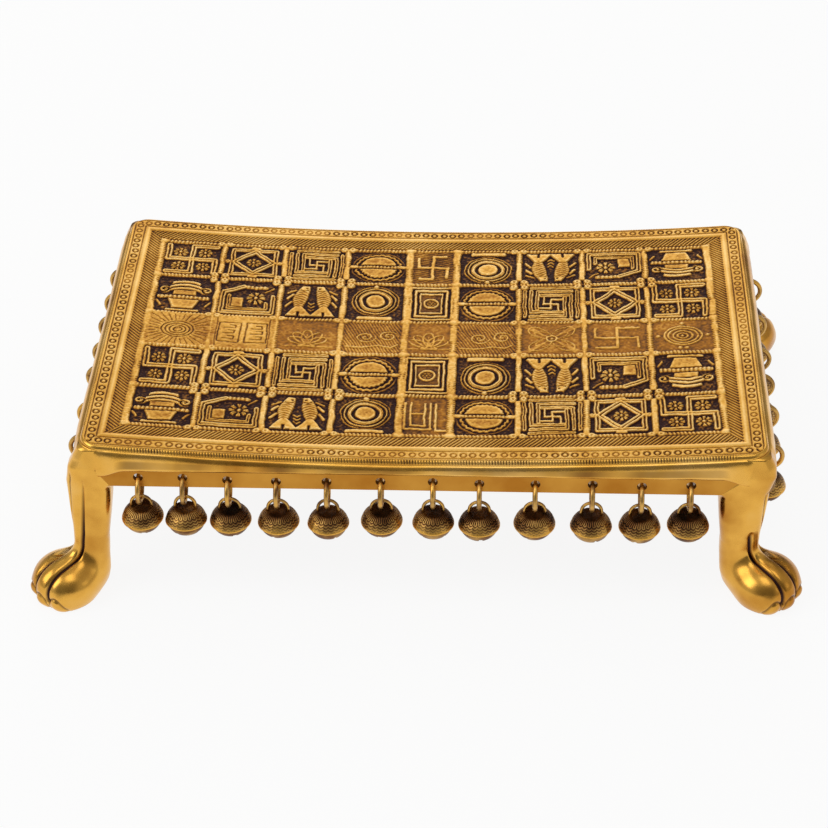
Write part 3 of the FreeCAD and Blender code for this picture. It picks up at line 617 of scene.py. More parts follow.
def carve_bars(x, y, height):
    """Carve the rods, ropes, balls and blocks between the panels."""
    columns, rows = grid_lines()
    bars = Carving(*hand_shaken(*np.meshgrid(x, y, indexing="ij")))
    outer = (0, 4, 5, 9)
    for n, line in enumerate(columns):
        wide = 4.2 if n in outer else 3.4
        notch = 0.5 + 0.5 * np.cos(2 * math.pi * bars.v / 1.45 + n)
        near = np.abs(bars.u - line)
        rod = 1.00 * np.sqrt(np.clip(1.0 - (near / (wide / 2.0)) ** 4, 0.0, 1.0))
        patchy = smooth(0.5 + 1.8 * mottle(20 + n, bars.u, bars.v, 6.0))
        rod = rod * (1.0 - 0.42 * notch * patchy * smooth(near * 3.0 / wide))
        if n not in outer:
            for level in (rows[1], rows[4]):
                rod = rod * smooth((np.abs(bars.v - level) - 3.0) / 0.6)
        bars.add(np.where(np.abs(bars.v) < rows[0], rod, 0.0))
    for n, line in enumerate(rows):
        for west, east in zip(columns, columns[1:]):
            rise = 0.95 if n in (0, 5) else 1.05
            bars.rope(west + 1.5, line, east - 1.5, line, wide=3.0, high=rise,
                      pitch=1.75, slant=0.25 if n % 2 else -0.2)
    for n, line in enumerate(columns):
        for m, level in enumerate(rows):
            if n in outer:
                bars.ball(line, level, 3.3, high=1.15)
                bars.ball(line, level - 0.4, 1.8, high=1.25, dimple=0.35)
                continue
            ups, far = ((-2.15, 2.15), 2.5) if m in (1, 4) else ((0.0,), 2.1)
            for up in ups:
                for aside in (-far, far):
                    bars.ball(line + aside, level + up, 2.3, high=1.30, dimple=0.60)
    np.maximum(height, bars.h, out=height)


def carve_border(x, y):
    """Height of the border, from its distance to the outline."""
    gx, gy = np.meshgrid(x, y, indexing="ij")
    half_x = top().half_length / MM
    half_y = top().half_width / MM
    from_end = half_x - np.abs(gx)
    from_side = half_y - np.abs(gy)
    inward = np.minimum(from_end, from_side)
    along = np.where(from_side < from_end, gx, gy)
    border = Carving(gx, gy)
    border.h = np.full_like(gx, 0.0)
    border.cut(inward - 2.5, 0.75, 0.40)
    border.cut(inward - 7.5, 0.75, 0.34)
    border.h += 0.20 * smooth((inward - 7.9) / 0.8) * smooth((10.4 - inward) / 0.8)
    border.cut(inward - 8.7, 0.5, 0.25)
    on_hatch = smooth((inward - 10.6) / 0.5) * smooth((17.0 - inward) / 0.6)
    way = np.where(from_side < from_end, np.sign(gy), -np.sign(gx))
    wave = along + 0.95 * inward * way + 0.35 * mottle(3, gx, gy, 9.0)
    slash = 0.5 + 0.5 * np.cos(2 * math.pi * wave / 2.05)
    border.h += on_hatch * (0.50 * slash**0.7 - 0.62)
    border.h -= 0.80 * smooth((inward - 16.6) / 0.8)
    pitch = top().circle_pitch / MM
    number = np.rint(along / pitch)
    rng = np.random.default_rng(11)
    shake = rng.uniform(-0.28, 0.28, (2, 4, 200))
    side = np.where(from_side < from_end, np.where(gy < 0, 0, 1), np.where(gx < 0, 2, 3))
    index = (number + 100).astype(int) % 200
    off_along = along - number * pitch - shake[0, side, index]
    off_in = inward - 5.0 - shake[1, side, index]
    reach = np.hypot(off_along, off_in)
    inside = (inward > 2.9) & (inward < 7.2)
    worn = smooth(0.35 + 1.9 * mottle(5, gx, gy, 21.0))
    ring = 0.46 * smooth(1.3 - np.abs(reach - 1.32) / 0.42)
    border.h -= np.where(inside, ring * (1.0 - 0.45 * worn), 0.0)
    return border.h


def carved_surface():
    """Places, levels, normals and shares of the whole carved top: patinated ground, with painted
    shade in the crevices and painted highlights on the edges.
    """
    t = top()
    step = t.step
    half_x = t.half_length - t.inset
    half_y = t.half_width - t.inset
    x = np.linspace(-half_x, half_x, 2 * int(round(half_x / step)) + 1)
    y = np.linspace(-half_y, half_y, 2 * int(round(half_y / step)) + 1)
    height = carve_border(x / MM, y / MM)
    columns, rows = grid_lines()
    field = np.zeros_like(height)
    carve_panels(x / MM, y / MM, field)
    carve_bars(x / MM, y / MM, field)
    gx, gy = np.meshgrid(x, y, indexing="ij")
    field += 0.07 * mottle(1, gx / MM, gy / MM, 0.9) + 0.05 * mottle(2, gx / MM, gy / MM, 2.2)
    field += 0.20 * mottle(4, gx / MM, gy / MM, 0.75) * smooth(1.0 - field / 0.3)
    inside = smooth((columns[-1] + 1.9 - np.abs(gx / MM)) / 0.7)
    inside = inside * smooth((rows[0] + 1.7 - np.abs(gy / MM)) / 0.7)
    field = field - t.ground / MM
    height = height * (1.0 - inside) + field * inside
    height += 0.05 * mottle(6, gx / MM, gy / MM, 7.0)
    level = dish(gx) + height * MM
    level -= 0.35 * MM * smooth((np.abs(gx) - half_x + 1.2 * MM) / (1.2 * MM))
    slope_x, slope_y = np.gradient(level, x, y)
    normal = np.stack([-slope_x, -slope_y, np.ones_like(level)], axis=-1)
    normal /= np.linalg.norm(normal, axis=-1, keepdims=True)
    # The height gives the patina of the ground and the rubbed tops; the local term paints shade
    # into the crevices and highlights along the edges.
    near = spread_out(height, 3)
    painted_shade_and_highlight = (height - spread_out(near, 3)) / 0.5
    wear_and_painted_shade = np.clip(0.72 + 0.46 * height + 0.40 * painted_shade_and_highlight, 0.0, 1.0)
    return x, y, level, normal, wear_and_painted_shade


def spread_out(values, reach):
    """A running mean over a square of points."""
    for axis in (0, 1):
        padded = np.concatenate([
            np.repeat(np.take(values, [0], axis), reach + 1, axis), values,
            np.repeat(np.take(values, [-1], axis), reach, axis),
        ], axis)
        total = np.cumsum(padded, axis)
        wide = 2 * reach + 1
        count = values.shape[axis]
        later = np.take(total, range(wide, wide + count), axis)
        values = (later - np.take(total, range(count), axis)) / wide
    return values


def pulled_in(x, y, half_x, half_y, corner):
    """Places pulled in to a rectangle with rounded corners."""
    mid_x = half_x - corner
    mid_y = half_y - corner
    out_x = np.maximum(np.abs(x) - mid_x, 0.0)
    out_y = np.maximum(np.abs(y) - mid_y, 0.0)
    far = np.hypot(out_x, out_y)
    pull = np.where(far > corner, corner / np.maximum(far, 1e-9), 1.0)
    new_x = np.where(out_x > 0, np.sign(x) * (mid_x + out_x * pull), x)
    new_y = np.where(out_y > 0, np.sign(y) * (mid_y + out_y * pull), y)
    return new_x, new_y


def carved_tile(name, surface, i0, i1, j0, j1, material):
    """One tile of the carved top, closed underneath."""
    x, y, level, normal, wear_and_painted_shade = surface
    bm = bmesh.new()
    bmesh.ops.create_grid(bm, x_segments=i1 - i0, y_segments=j1 - j0, size=0.5)
    rim = [edge for edge in bm.edges if edge.is_boundary]
    walls = bmesh.ops.extrude_edge_only(bm, edges=rim)["geom"]
    low = [item for item in walls if isinstance(item, bmesh.types.BMVert)]
    for vert in low:
        vert.co.z = -1.0
    edges = [item for item in walls if isinstance(item, bmesh.types.BMEdge)]
    foot = [e for e in edges if e.verts[0].co.z < -0.5 and e.verts[1].co.z < -0.5]
    bmesh.ops.edgeloop_fill(bm, edges=foot)
    bmesh.ops.recalc_face_normals(bm, faces=bm.faces)
    piece = finished(bm, name, material)
    mesh = piece.data
    count = len(mesh.vertices)
    place = np.empty(count * 3)
    mesh.vertices.foreach_get("co", place)
    place = place.reshape(-1, 3)
    i = i0 + np.rint((place[:, 0] + 0.5) * (i1 - i0)).astype(int)
    j = j0 + np.rint((place[:, 1] + 0.5) * (j1 - j0)).astype(int)
    under = place[:, 2] < -0.5
    t = top()
    px, py = pulled_in(x[i], y[j], t.half_length - t.inset, t.half_width - t.inset,
                       t.corner - t.inset)
    pz = np.where(under, dish(px) - t.tile, level[i, j])
    mesh.vertices.foreach_set("co", np.stack([px, py, pz], axis=1).ravel())
    set_attribute(mesh, "wear_and_painted_shade", wear_and_painted_shade[i, j])
    mesh.normals_split_custom_set_from_vertices(normal[i, j].tolist())
    return piece


# The moulded edge: a strip swept round the outline of the top.

def outline(count, grow=0.0):
    """Places on an outline of the top, outward directions and distance to a corner.

    At a grow of 0 it is the chased top, and at 1 the foot of the polished roll.
    """
    t = top()
    run_x = 2.0 * (t.half_length - t.corner)
    run_y = 2.0 * (t.half_width - t.corner)
    arc = t.corner * math.pi / 2.0
    s = np.arange(count) * (2.0 * (run_x + run_y) + 4.0 * arc) / count
    corner = t.corner + grow * t.band_step
    mid_x = t.half_length + grow * (TOP_HIGH.x - t.half_length) - corner
    mid_y = t.half_width + grow * (TOP_HIGH.y - t.half_width) - corner
    place = np.zeros((count, 2))
    out = np.zeros((count, 2))
    start = 0.0
    middle = np.array([mid_x, -mid_y])
    heading = np.array([0.0, 1.0])
    facing = np.array([1.0, 0.0])
    for run, full in ((run_y, 2 * mid_y), (run_x, 2 * mid_x)) * 2:
        on = (s >= start) & (s < start + run)
        share = ((s[on] - start) / run)[:, None]
        place[on] = middle + facing * corner + heading * full * share
        out[on] = facing
        middle = middle + heading * full
        start += run
        on = (s >= start) & (s < start + arc)
        angle = ((s[on] - start) / t.corner)[:, None]
        direction = facing * np.cos(angle) + heading * np.sin(angle)
        place[on] = middle + direction * corner
        out[on] = direction
        start += arc
        facing, heading = heading, -facing
    gap_x = mid_x + corner - np.abs(place[:, 0])
    gap_y = mid_y + corner - np.abs(place[:, 1])
    return s, place, out, np.maximum(gap_x, gap_y)


def stacked_rings(bm, turns, count):
    """A tube of rings, in which each vertex stands on the one that it grew from."""
    bmesh.ops.create_circle(bm, segments=turns, radius=1.0)
    rings = [list(bm.verts)]
    edges = list(bm.edges)
    for _ in range(count - 1):
        grown = bmesh.ops.extrude_edge_only(bm, edges=edges)["geom"]
        fresh = {g for g in grown if isinstance(g, bmesh.types.BMVert)}
        edges = [g for g in grown if isinstance(g, bmesh.types.BMEdge)
                 and g.verts[0] in fresh and g.verts[1] in fresh]
        rings.append([next(e.other_vert(v) for e in v.link_edges if e.other_vert(v) in fresh)
                      for v in rings[-1]])
    return rings


def swept(name, count, stations, material, wear_and_painted_shade):
    """A closed strip swept round the outline through given stations.

    Each station gives how far down the roll, how far out and how high every
    place of the strip lies. The last station is joined back to the first.
    """
    _, place, out, _ = outline(count)
    foot = outline(count, 1.0)[1] - place
    bm = bmesh.new()
    layer = bm.verts.layers.float.new("wear_and_painted_shade")
    rings = stacked_rings(bm, count, len(stations))
    for ring, (grow, away, level), share in zip(rings, stations, wear_and_painted_shade):
        for n, vert in enumerate(ring):
            spot = place[n] + foot[n] * grow + out[n] * away[n]
            vert.co = (spot[0], spot[1], level[n])
            vert[layer] = share[n]
    first = [e for e in bm.edges if e.is_boundary]
    bmesh.ops.bridge_loops(bm, edges=first)
    bmesh.ops.recalc_face_normals(bm, faces=bm.faces)
    return finished(bm, name, material)


# The bevel's stations: how far out, how far below the top, and how deep a notch cuts.
EDGE_STATIONS = (
    (-3.2, 0.9, 0.0), (-1.75, 0.30, 0.0), (-1.40, 0.10, 0.4), (-0.80, 0.52, 1.0),
    (-0.30, 1.20, 1.0), (-0.05, 2.0, 0.3), (-0.12, 2.5, 0.0), (-1.60, 2.8, 0.0),
)


# Distances from a corner over which the roll tucks in, hangs down and stops waving.
ROLL_TUCK = 4.5 * MM
LOBE_STARTS = 24.0 * MM
LOBE_GROWS = 11.0 * MM
WAVE_STOPS = 16.0 * MM
WAVE_FADES = 6.0 * MM


def level_on_outline(count, away):
    """Level of the dished surface under each place of the outline."""
    _, place, out, _ = outline(count)
    half = top().half_length
    return dish(np.clip(place[:, 0] + out[:, 0] * away, -half, half))


# Finishes.

def node_material(name):
    """A material with a principled shader, and its parts."""
    material = bpy.data.materials.new(name)
    material.use_nodes = True
    tree = material.node_tree
    shader = tree.nodes["Principled BSDF"]
    shader.inputs["Metallic"].default_value = 1.0
    return material, tree, shader


def noise(tree, scale, detail=3.0, stretch=(1.0, 1.0, 1.0)):
    """Noise on the piece's own place in the table."""
    where = tree.nodes.new("ShaderNodeTexCoord")
    mapping = tree.nodes.new("ShaderNodeMapping")
    mapping.inputs["Scale"].default_value = stretch
    tree.links.new(where.outputs["Object"], mapping.inputs["Vector"])
    texture = tree.nodes.new("ShaderNodeTexNoise")
    texture.inputs["Scale"].default_value = scale
    texture.inputs["Detail"].default_value = detail
    tree.links.new(mapping.outputs["Vector"], texture.inputs["Vector"])
    return texture.outputs["Fac"]


def ramp(tree, source, stops):
    """A colour ramp with given stops."""
    node = tree.nodes.new("ShaderNodeValToRGB")
    elements = node.color_ramp.elements
    for n, (position, shade) in enumerate(stops):
        item = elements[n] if n < 2 else elements.new(position)
        item.position = position
        item.color = shade
    tree.links.new(source, node.inputs["Fac"])
    return node.outputs["Color"]


def mixed(tree, share, first, second):
    """Two colours mixed by a share, each a colour or a socket."""
    node = tree.nodes.new("ShaderNodeMix")
    node.data_type = "RGBA"
    for slot, value in (("Factor", share), ("A", first), ("B", second)):
        sockets = [s for s in node.inputs if s.name == slot and s.enabled]
        if isinstance(value, bpy.types.NodeSocket):
            tree.links.new(value, sockets[0])
        else:
            sockets[0].default_value = value
    return [s for s in node.outputs if s.enabled][0]


def ranged(tree, source, low, high, start=0.0, end=1.0):
    """A number moved from one range to another."""
    node = tree.nodes.new("ShaderNodeMapRange")
    node.inputs["From Min"].default_value = start
    node.inputs["From Max"].default_value = end
    node.inputs["To Min"].default_value = low
    node.inputs["To Max"].default_value = high
    tree.links.new(source, node.inputs["Value"])
    return node.outputs["Result"]


def maths(tree, operation, first, second=0.0):
    """One sum of two numbers or sockets."""
    node = tree.nodes.new("ShaderNodeMath")
    node.operation = operation
    for socket, value in zip(node.inputs, (first, second)):
        if isinstance(value, bpy.types.NodeSocket):
            tree.links.new(value, socket)
        else:
            socket.default_value = value
    return node.outputs["Value"]


def bumped(tree, shader, source, strength, distance):
    """Give the surface a fine bump."""
    node = tree.nodes.new("ShaderNodeBump")
    node.inputs["Strength"].default_value = strength
    node.inputs["Distance"].default_value = distance
    tree.links.new(source, node.inputs["Height"])
    tree.links.new(node.outputs["Normal"], shader.inputs["Normal"])


def attribute(tree, name):
    """A number stored on the mesh."""
    node = tree.nodes.new("ShaderNodeAttribute")
    node.attribute_name = name
    return node.outputs["Fac"]


def relief_brass():
    """Chased brass: rubbed bright where the work stands high, dark in the ground, with painted
    shade in the crevices and painted highlights on the edges.
    """
    material, tree, shader = node_material("relief_brass")
    wear_and_painted_shade = attribute(tree, "wear_and_painted_shade")
    dirt = noise(tree, 900.0, 2.0)
    patchy = noise(tree, 42.0, 3.0)
    share = maths(tree, "ADD", wear_and_painted_shade, ranged(tree, dirt, -0.10, 0.10))
    share = maths(tree, "ADD", share, ranged(tree, patchy, -0.10, 0.10, 0.3, 0.7))
    shade = ramp(tree, share, [
        (0.18, tone("patina_and_painted_shade_tone")), (1.0, tone("pale")), (0.36, tone("umber")),
        (0.54, tone("amber")), (0.76, tone("gold")),
    ])
    tree.links.new(shade, shader.inputs["Base Color"])
    rough = ranged(tree, share, 0.62, 0.38, 0.3, 0.9)
    tree.links.new(rough, shader.inputs["Roughness"])
    bumped(tree, shader, dirt, 0.25, 0.00015)
    return material


def polished_brass():
    """Polished brass with soft clouding, hairlines, dark grooves and the roll's painted dark
    reflection.
    """
    material, tree, shader = node_material("bright_brass")
    cloud = noise(tree, 26.0, 4.0)
    fine = noise(tree, 260.0, 3.0)
    shade = ramp(tree, cloud, [
        (0.30, tone("amber")), (0.86, tone("pale")), (0.50, tone("gold")),
    ])
    # Dark in the leg grooves, nails and edge notches, and the painted dark reflection on the roll.
    groove_and_painted_reflection = ranged(tree, attribute(tree, "wear_and_painted_shade"), 1.0, 0.0, 0.25, 0.80)
    shade = mixed(tree, groove_and_painted_reflection, shade, tone("patina_and_painted_shade_tone"))
    tree.links.new(shade, shader.inputs["Base Color"])
    rough = maths(tree, "ADD", ranged(tree, fine, 0.16, 0.34), maths(
        tree, "MULTIPLY", groove_and_painted_reflection, 0.25))
    tree.links.new(rough, shader.inputs["Roughness"])
    hairs = noise(tree, 500.0, 2.0, (1.0, 1.0, 0.12))
    bumped(tree, shader, hairs, 0.10, 0.0001)
    return material


def band_brass():
    """The flat lower band: warmer, with file marks and small pits."""
    material, tree, shader = node_material("band_brass")
    cloud = noise(tree, 34.0, 4.0)
    shade = ramp(tree, cloud, [(0.36, tone("amber")), (1.0, tone("gold"))])
    tree.links.new(shade, shader.inputs["Base Color"])
    marks = noise(tree, 300.0, 3.0, (0.15, 0.15, 1.0))
    tree.links.new(ranged(tree, marks, 0.24, 0.42), shader.inputs["Roughness"])
    bumped(tree, shader, marks, 0.25, 0.0002)
    return material


def rough_cast():
    """The underside as it came from the mould: dull and grainy."""
    material, tree, shader = node_material("rough_cast_brass")
    grain = noise(tree, 700.0, 5.0)
    cloud = noise(tree, 30.0, 4.0)
    shade = ramp(tree, cloud, [(0.30, tone("umber")), (0.80, tone("wire"))])
    tree.links.new(shade, shader.inputs["Base Color"])
    tree.links.new(ranged(tree, grain, 0.50, 0.72), shader.inputs["Roughness"])
    bumped(tree, shader, grain, 0.6, 0.0003)
    return material


def wire_brass():
    """Drawn brass wire, lightly tarnished."""
    material, tree, shader = node_material("drawn_brass")
    cloud = noise(tree, 120.0, 4.0)
    shade = ramp(tree, cloud, [
        (0.30, tone("umber")), (0.72, tone("gold")), (0.48, tone("wire")),
    ])
    tree.links.new(shade, shader.inputs["Base Color"])
    tree.links.new(ranged(tree, cloud, 0.40, 0.26), shader.inputs["Roughness"])
    bumped(tree, shader, noise(tree, 900.0, 2.0), 0.2, 0.0001)
    return material


def bell_brass():
    """Aged bells: pressed scallops rubbed bright, dark between them, with a painted highlight low
    on the dome and painted shade on the lower cup.
    """
    material, tree, shader = node_material("aged_bell_brass")
    where = tree.nodes.new("ShaderNodeUVMap")
    where.uv_map = "bell"
    split = tree.nodes.new("ShaderNodeSeparateXYZ")
    tree.links.new(where.outputs["UV"], split.inputs["Vector"])
    around = split.outputs["X"]
    down = split.outputs["Y"]
    turn = maths(tree, "MULTIPLY", around, math.pi * 22)
    arch = maths(tree, "ABSOLUTE", maths(tree, "SINE", turn))
    rows = maths(tree, "SUBTRACT", maths(tree, "MULTIPLY", down, 18.0),
                 maths(tree, "MULTIPLY", arch, 0.55))
    scallop = maths(tree, "FRACT", rows)
    strokes = maths(tree, "ABSOLUTE", maths(tree, "SINE", maths(
        tree, "MULTIPLY", around, math.pi * 44)))
    on_strokes = ranged(tree, down, 1.0, 0.0, 0.285, 0.295)
    pattern = mixed(tree, on_strokes, scallop, strokes)
    on_dome = ranged(tree, down, 1.0, 0.0, 0.455, 0.466)
    # Below the dome the stored share is used: bright on the seam bead, painted shade on the lower
    # cup.
    wear_and_painted_shade = attribute(tree, "wear_and_painted_shade")
    pattern = mixed(tree, on_dome, wear_and_painted_shade, pattern)
    cloud = noise(tree, 90.0, 3.0)
    # Darker towards the top of the dome, as patina, and brighter towards its lower part, as a
    # painted highlight.
    lower = ranged(tree, down, -0.26, 0.24, 0.14, 0.46)
    share = maths(tree, "ADD", maths(tree, "MULTIPLY", pattern, 0.55),
                  ranged(tree, cloud, -0.10, 0.42, 0.3, 0.7))
    share = maths(tree, "ADD", share, lower)
    shade = ramp(tree, share, [
        (0.16, tone("smoke")), (0.98, tone("gold")), (0.46, tone("umber")),
        (0.74, tone("wire")),
    ])
    tree.links.new(shade, shader.inputs["Base Color"])
    tree.links.new(ranged(tree, share, 0.52, 0.34), shader.inputs["Roughness"])
    bumped(tree, shader, pattern, 0.5, 0.0003)
    return material


def iron_pellet():
    """The loose pellet: plain dark iron."""
    material, tree, shader = node_material("pellet_iron")
    grain = noise(tree, 600.0, 4.0)
    shade = ramp(tree, grain, [(0.3, (0.04, 0.035, 0.03, 1)), (0.8, (0.16, 0.13, 0.11, 1))])
    tree.links.new(shade, shader.inputs["Base Color"])
    tree.links.new(ranged(tree, grain, 0.40, 0.60), shader.inputs["Roughness"])
    return material


MAKERS = {
    "relief_brass": relief_brass, "bright_brass": polished_brass,
    "band_brass": band_brass, "rough_cast_brass": rough_cast, "drawn_brass": wire_brass,
    "aged_bell_brass": bell_brass, "pellet_iron": iron_pellet,
}


def finish(name):
    """A finish by its name, made when it is first asked for."""
    return bpy.data.materials.get(name) or MAKERS[name]()


# Legs.

# Each course gives levels above the floor and the value at each, in millimetres or as a share.
LEG_COURSES = {
    "out_x": ((0, 4, 9, 20, 26, 35, 45, 57.3, 66, 71, 76),
              (-4.2, -2.2, -1.7, -1.7, -1.6, -1.1, -0.6, 0.0, 0.3, -1.3, -3.8)),
    "out_y": ((0, 4, 9, 20, 26, 35, 45, 57.3, 66, 71, 76),
              (-0.6, 1.2, 1.8, 1.9, 1.9, 1.5, 0.9, 0.0, 0.3, -0.9, -2.1)),
    "heel": ((0, 4, 9, 14, 20), (6.5, 3.0, 1.2, 0.5, 0.0)),
    "girth": ((20, 28, 38, 47, 57.3), (0.78, 0.80, 0.885, 0.95, 1.0)),
    "climb_x": ((57.3, 66, 76), (0.0, 9.0, 12.0)),
    "climb_y": ((57.3, 66, 76), (0.0, 7.0, 9.0)),
    "rounding": ((0, 20, 40, 57, 62, 76), (7.5, 6.0, 5.0, 5.0, 4.6, 4.0)),
    "groove_aside": ((8, 20, 32, 44), (0.0, 0.6, 2.3, 2.7)),
    "groove_gap": ((8, 20, 32, 44), (4.4, 4.0, 3.0, 2.7)),
    "groove_wide": ((8, 22, 40, 60), (0.90, 0.80, 0.58, 0.48)),
    "core_x": ((0, 12, 24, 50, 57, 66, 76), (-1.8, -5.4, -11.2, -11.8, -11.0, -5.5, -6.6)),
    "core_y": ((0, 12, 24, 50, 57, 66, 76), (0.4, -1.6, -5.6, -7.5, -7.5, -5.8, -6.4)),
    "shift_x": ((20.0, 57.3, 70.0), (1.0, 0.8, 0.0)),
}
FILLET = 3.4
FILLET_FROM = 53.6
FILLET_TALL = 3.7
ANKLE_BLEND = 9.0
SOLE_HALF = 16.0
TOE_PITCH = 7.8
TOE_LEVEL = 4.8
TOE_LONG, TOE_WIDE, TOE_TALL = 11.0, 5.6, 7.2
TOE_PROUD = 0.74
TOE_BLEND = 2.0
NAIL_PITCH = 8.2
NAIL_LEVEL = 1.6
NAIL_WIDE, NAIL_TALL = 3.5, 6.4


def course(name, z):
    """The value of one of a leg's courses at a level."""
    return np.interp(z, *LEG_COURSES[name])


def to_ellipsoid(x, y, z, half_x, half_y, half_z):
    """Distance to an ellipsoid about nothing, true near its surface."""
    ux, uy, uz = x / half_x, y / half_y, z / half_z
    length_of = np.sqrt(ux**2 + uy**2 + uz**2)
    grade = np.sqrt((ux / half_x) ** 2 + (uy / half_y) ** 2 + (uz / half_z) ** 2)
    return length_of * (length_of - 1.0) / np.maximum(grade, 1e-6)


def leg_column(x, y, z, girth):
    """Signed distance to a leg without its paw."""
    s = leg()
    high_x = (TOP_HIGH.x - top().band_step) / MM + (course("out_x", z) + s.proud / MM)
    high_y = (TOP_HIGH.y - top().band_step) / MM + (course("out_y", z) + s.proud / MM)
    share = course("girth", z) * girth
    root = np.clip((z - FILLET_FROM) / FILLET_TALL, 0.0, 1.0)
    web = FILLET * (1.0 - np.sqrt(1.0 - root**2))
    low_x = high_x - s.width / MM * share + course("heel", z) - web + course("climb_x", z)
    low_y = high_y - s.breadth / MM * share + course("heel", z) - web + course("climb_y", z)
    soft = course("rounding", z)
    qx = np.abs(x - (low_x + high_x) / 2) - (high_x - low_x) / 2 + soft
    qy = np.abs(y - (low_y + high_y) / 2) - (high_y - low_y) / 2 + soft
    column = np.hypot(np.maximum(qx, 0), np.maximum(qy, 0))
    return column + (np.minimum(np.maximum(qx, qy), 0) - soft)


def leg_field(x, y, z, grooves_from, girth):
    """Signed distance to a leg's surface, and how dark its grooves are.

    The leg stands at +X +Y. All values are in millimetres, and negative
    values are inside.
    """
    s = leg()
    mid_x = (TOP_HIGH.x - top().band_step + s.paw_out) / MM
    mid_y = (TOP_HIGH.y - top().band_step + s.paw_out) / MM
    paw = s.paw / MM
    tall = np.where(z < s.paw_level / MM, SOLE_HALF, s.paw_half / MM)
    ball = to_ellipsoid(x - mid_x, y - mid_y, z - s.paw_level / MM, paw, paw, tall)
    field = blend_fields(leg_column(x, y, z, girth), ball, ANKLE_BLEND)
    ahead = ((x - mid_x) + (y - mid_y)) / math.sqrt(2.0)
    aside = ((y - mid_y) - (x - mid_x)) / math.sqrt(2.0)
    for number in (-1, 0, 1):
        off = number * TOE_PITCH
        middle = math.sqrt(paw**2 - off**2) + TOE_PROUD - TOE_LONG
        toe = to_ellipsoid(ahead - middle, aside - off, z - TOE_LEVEL,
                           TOE_LONG, TOE_WIDE, TOE_TALL)
        field = blend_fields(field, toe, TOE_BLEND)
    front = smooth((ahead + 11.0) / 4.0)
    depth = np.zeros_like(field)
    dark = np.zeros_like(field)
    for side, start in zip((-1, 1), grooves_from):
        reach = np.abs(aside - course("groove_aside", z) - side * course("groove_gap", z))
        fade = smooth((start - z) / 6.0) * front * smooth((z - 3.5) / 3.0)
        sharp = np.exp(-((reach / course("groove_wide", z)) ** 2))
        depth += fade * (1.3 * sharp + 0.5 * np.exp(-((reach / 2.4) ** 2)))
        dark += fade * sharp
    for number in (-1, 0, 1):
        ring = np.hypot((aside - number * NAIL_PITCH) / NAIL_WIDE, (z - NAIL_LEVEL) / NAIL_TALL)
        line = smooth((ahead - 7.0) / 2.5) * np.exp(-(((ring - 1.0) / 0.11) ** 2))
        depth += 0.55 * line
        dark += 0.60 * line
    return field + depth, dark


def blend_fields(first, second, soft):
    """Two shapes joined with a soft seam."""
    mix = np.clip(0.5 + 0.5 * (second - first) / soft, 0.0, 1.0)
    return second * (1 - mix) + first * mix - soft * mix * (1 - mix)


def leg_rings(grooves_from, girth):
    """Places of a leg's surface, ring by ring, by walking in to it."""
    turns = 300
    low = np.linspace(0.0, 24.0, 62)
    high = np.linspace(24.4, 75.6, 84)
    z = np.concatenate([low, high])
    angle = np.arange(turns) * 2 * math.pi / turns
    mid_x = TOP_HIGH.x / MM + course("core_x", z)
    mid_y = TOP_HIGH.y / MM + course("core_y", z)
    level = z[:, None]
    cos = np.cos(angle)[None, :]
    sin = np.sin(angle)[None, :]
    outer = np.full((len(z), turns), 0.0)
    found = np.zeros((len(z), turns), bool)
    for reach in np.arange(34.0, 0.0, -0.5):
        value, _ = leg_field(mid_x[:, None] + reach * cos, mid_y[:, None] + reach * sin,
                             np.broadcast_to(level, outer.shape), grooves_from, girth)
        hit = (value < 0) & ~found
        outer[hit] = reach
        found |= hit
    near, far = outer, outer + 0.5
    for _ in range(12):
        half = (near + far) / 2
        value, _ = leg_field(mid_x[:, None] + half * cos, mid_y[:, None] + half * sin,
                             np.broadcast_to(level, outer.shape), grooves_from, girth)
        near = np.where(value < 0, half, near)
        far = np.where(value < 0, far, half)
    x = mid_x[:, None] + near * cos
    y = mid_y[:, None] + near * sin
    _, dark = leg_field(x, y, np.broadcast_to(level, x.shape), grooves_from, girth)
    return x, y, z, dark


def make_leg(node, side_x, side_y, grooves_from, girth=1.0):
    """One leg, with its shift read from the CAD leg that it stands for."""
    x, y, z, dark = leg_rings(grooves_from, girth)
    rings, turns = x.shape
    bm = bmesh.new()
    layer = bm.verts.layers.float.new("wear_and_painted_shade")
    stack = stacked_rings(bm, turns, rings)
    low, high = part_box(node)
    reach = leg().paw_out + leg().toe_reach - top().band_step
    edge_x = high.x if side_x > 0 else low.x
    edge_y = high.y if side_y > 0 else low.y
    shift_x = (edge_x - side_x * (TOP_HIGH.x + reach)) / MM
    shift_y = (edge_y - side_y * (TOP_HIGH.y + reach)) / MM
    settle_x = course("shift_x", z)
    settle_y = 1.0 - smooth((z - 16.0) / 42.0)
    for r, ring in enumerate(stack):
        for n, vert in enumerate(ring):
            vert.co = (
                (side_x * x[r, n] + shift_x * settle_x[r]) * MM,
                (side_y * y[r, n] + shift_y * settle_y[r]) * MM,
                z[r] * MM,
            )
            vert[layer] = 1.0 - min(1.0, dark[r, n])
    bmesh.ops.edgeloop_fill(bm, edges=[e for e in bm.edges if e.is_boundary])
    bmesh.ops.recalc_face_normals(bm, faces=bm.faces)
    piece = finished(bm, node + "_cast", finish("bright_brass"))
    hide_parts(node)
    return piece


# Rings and bells.

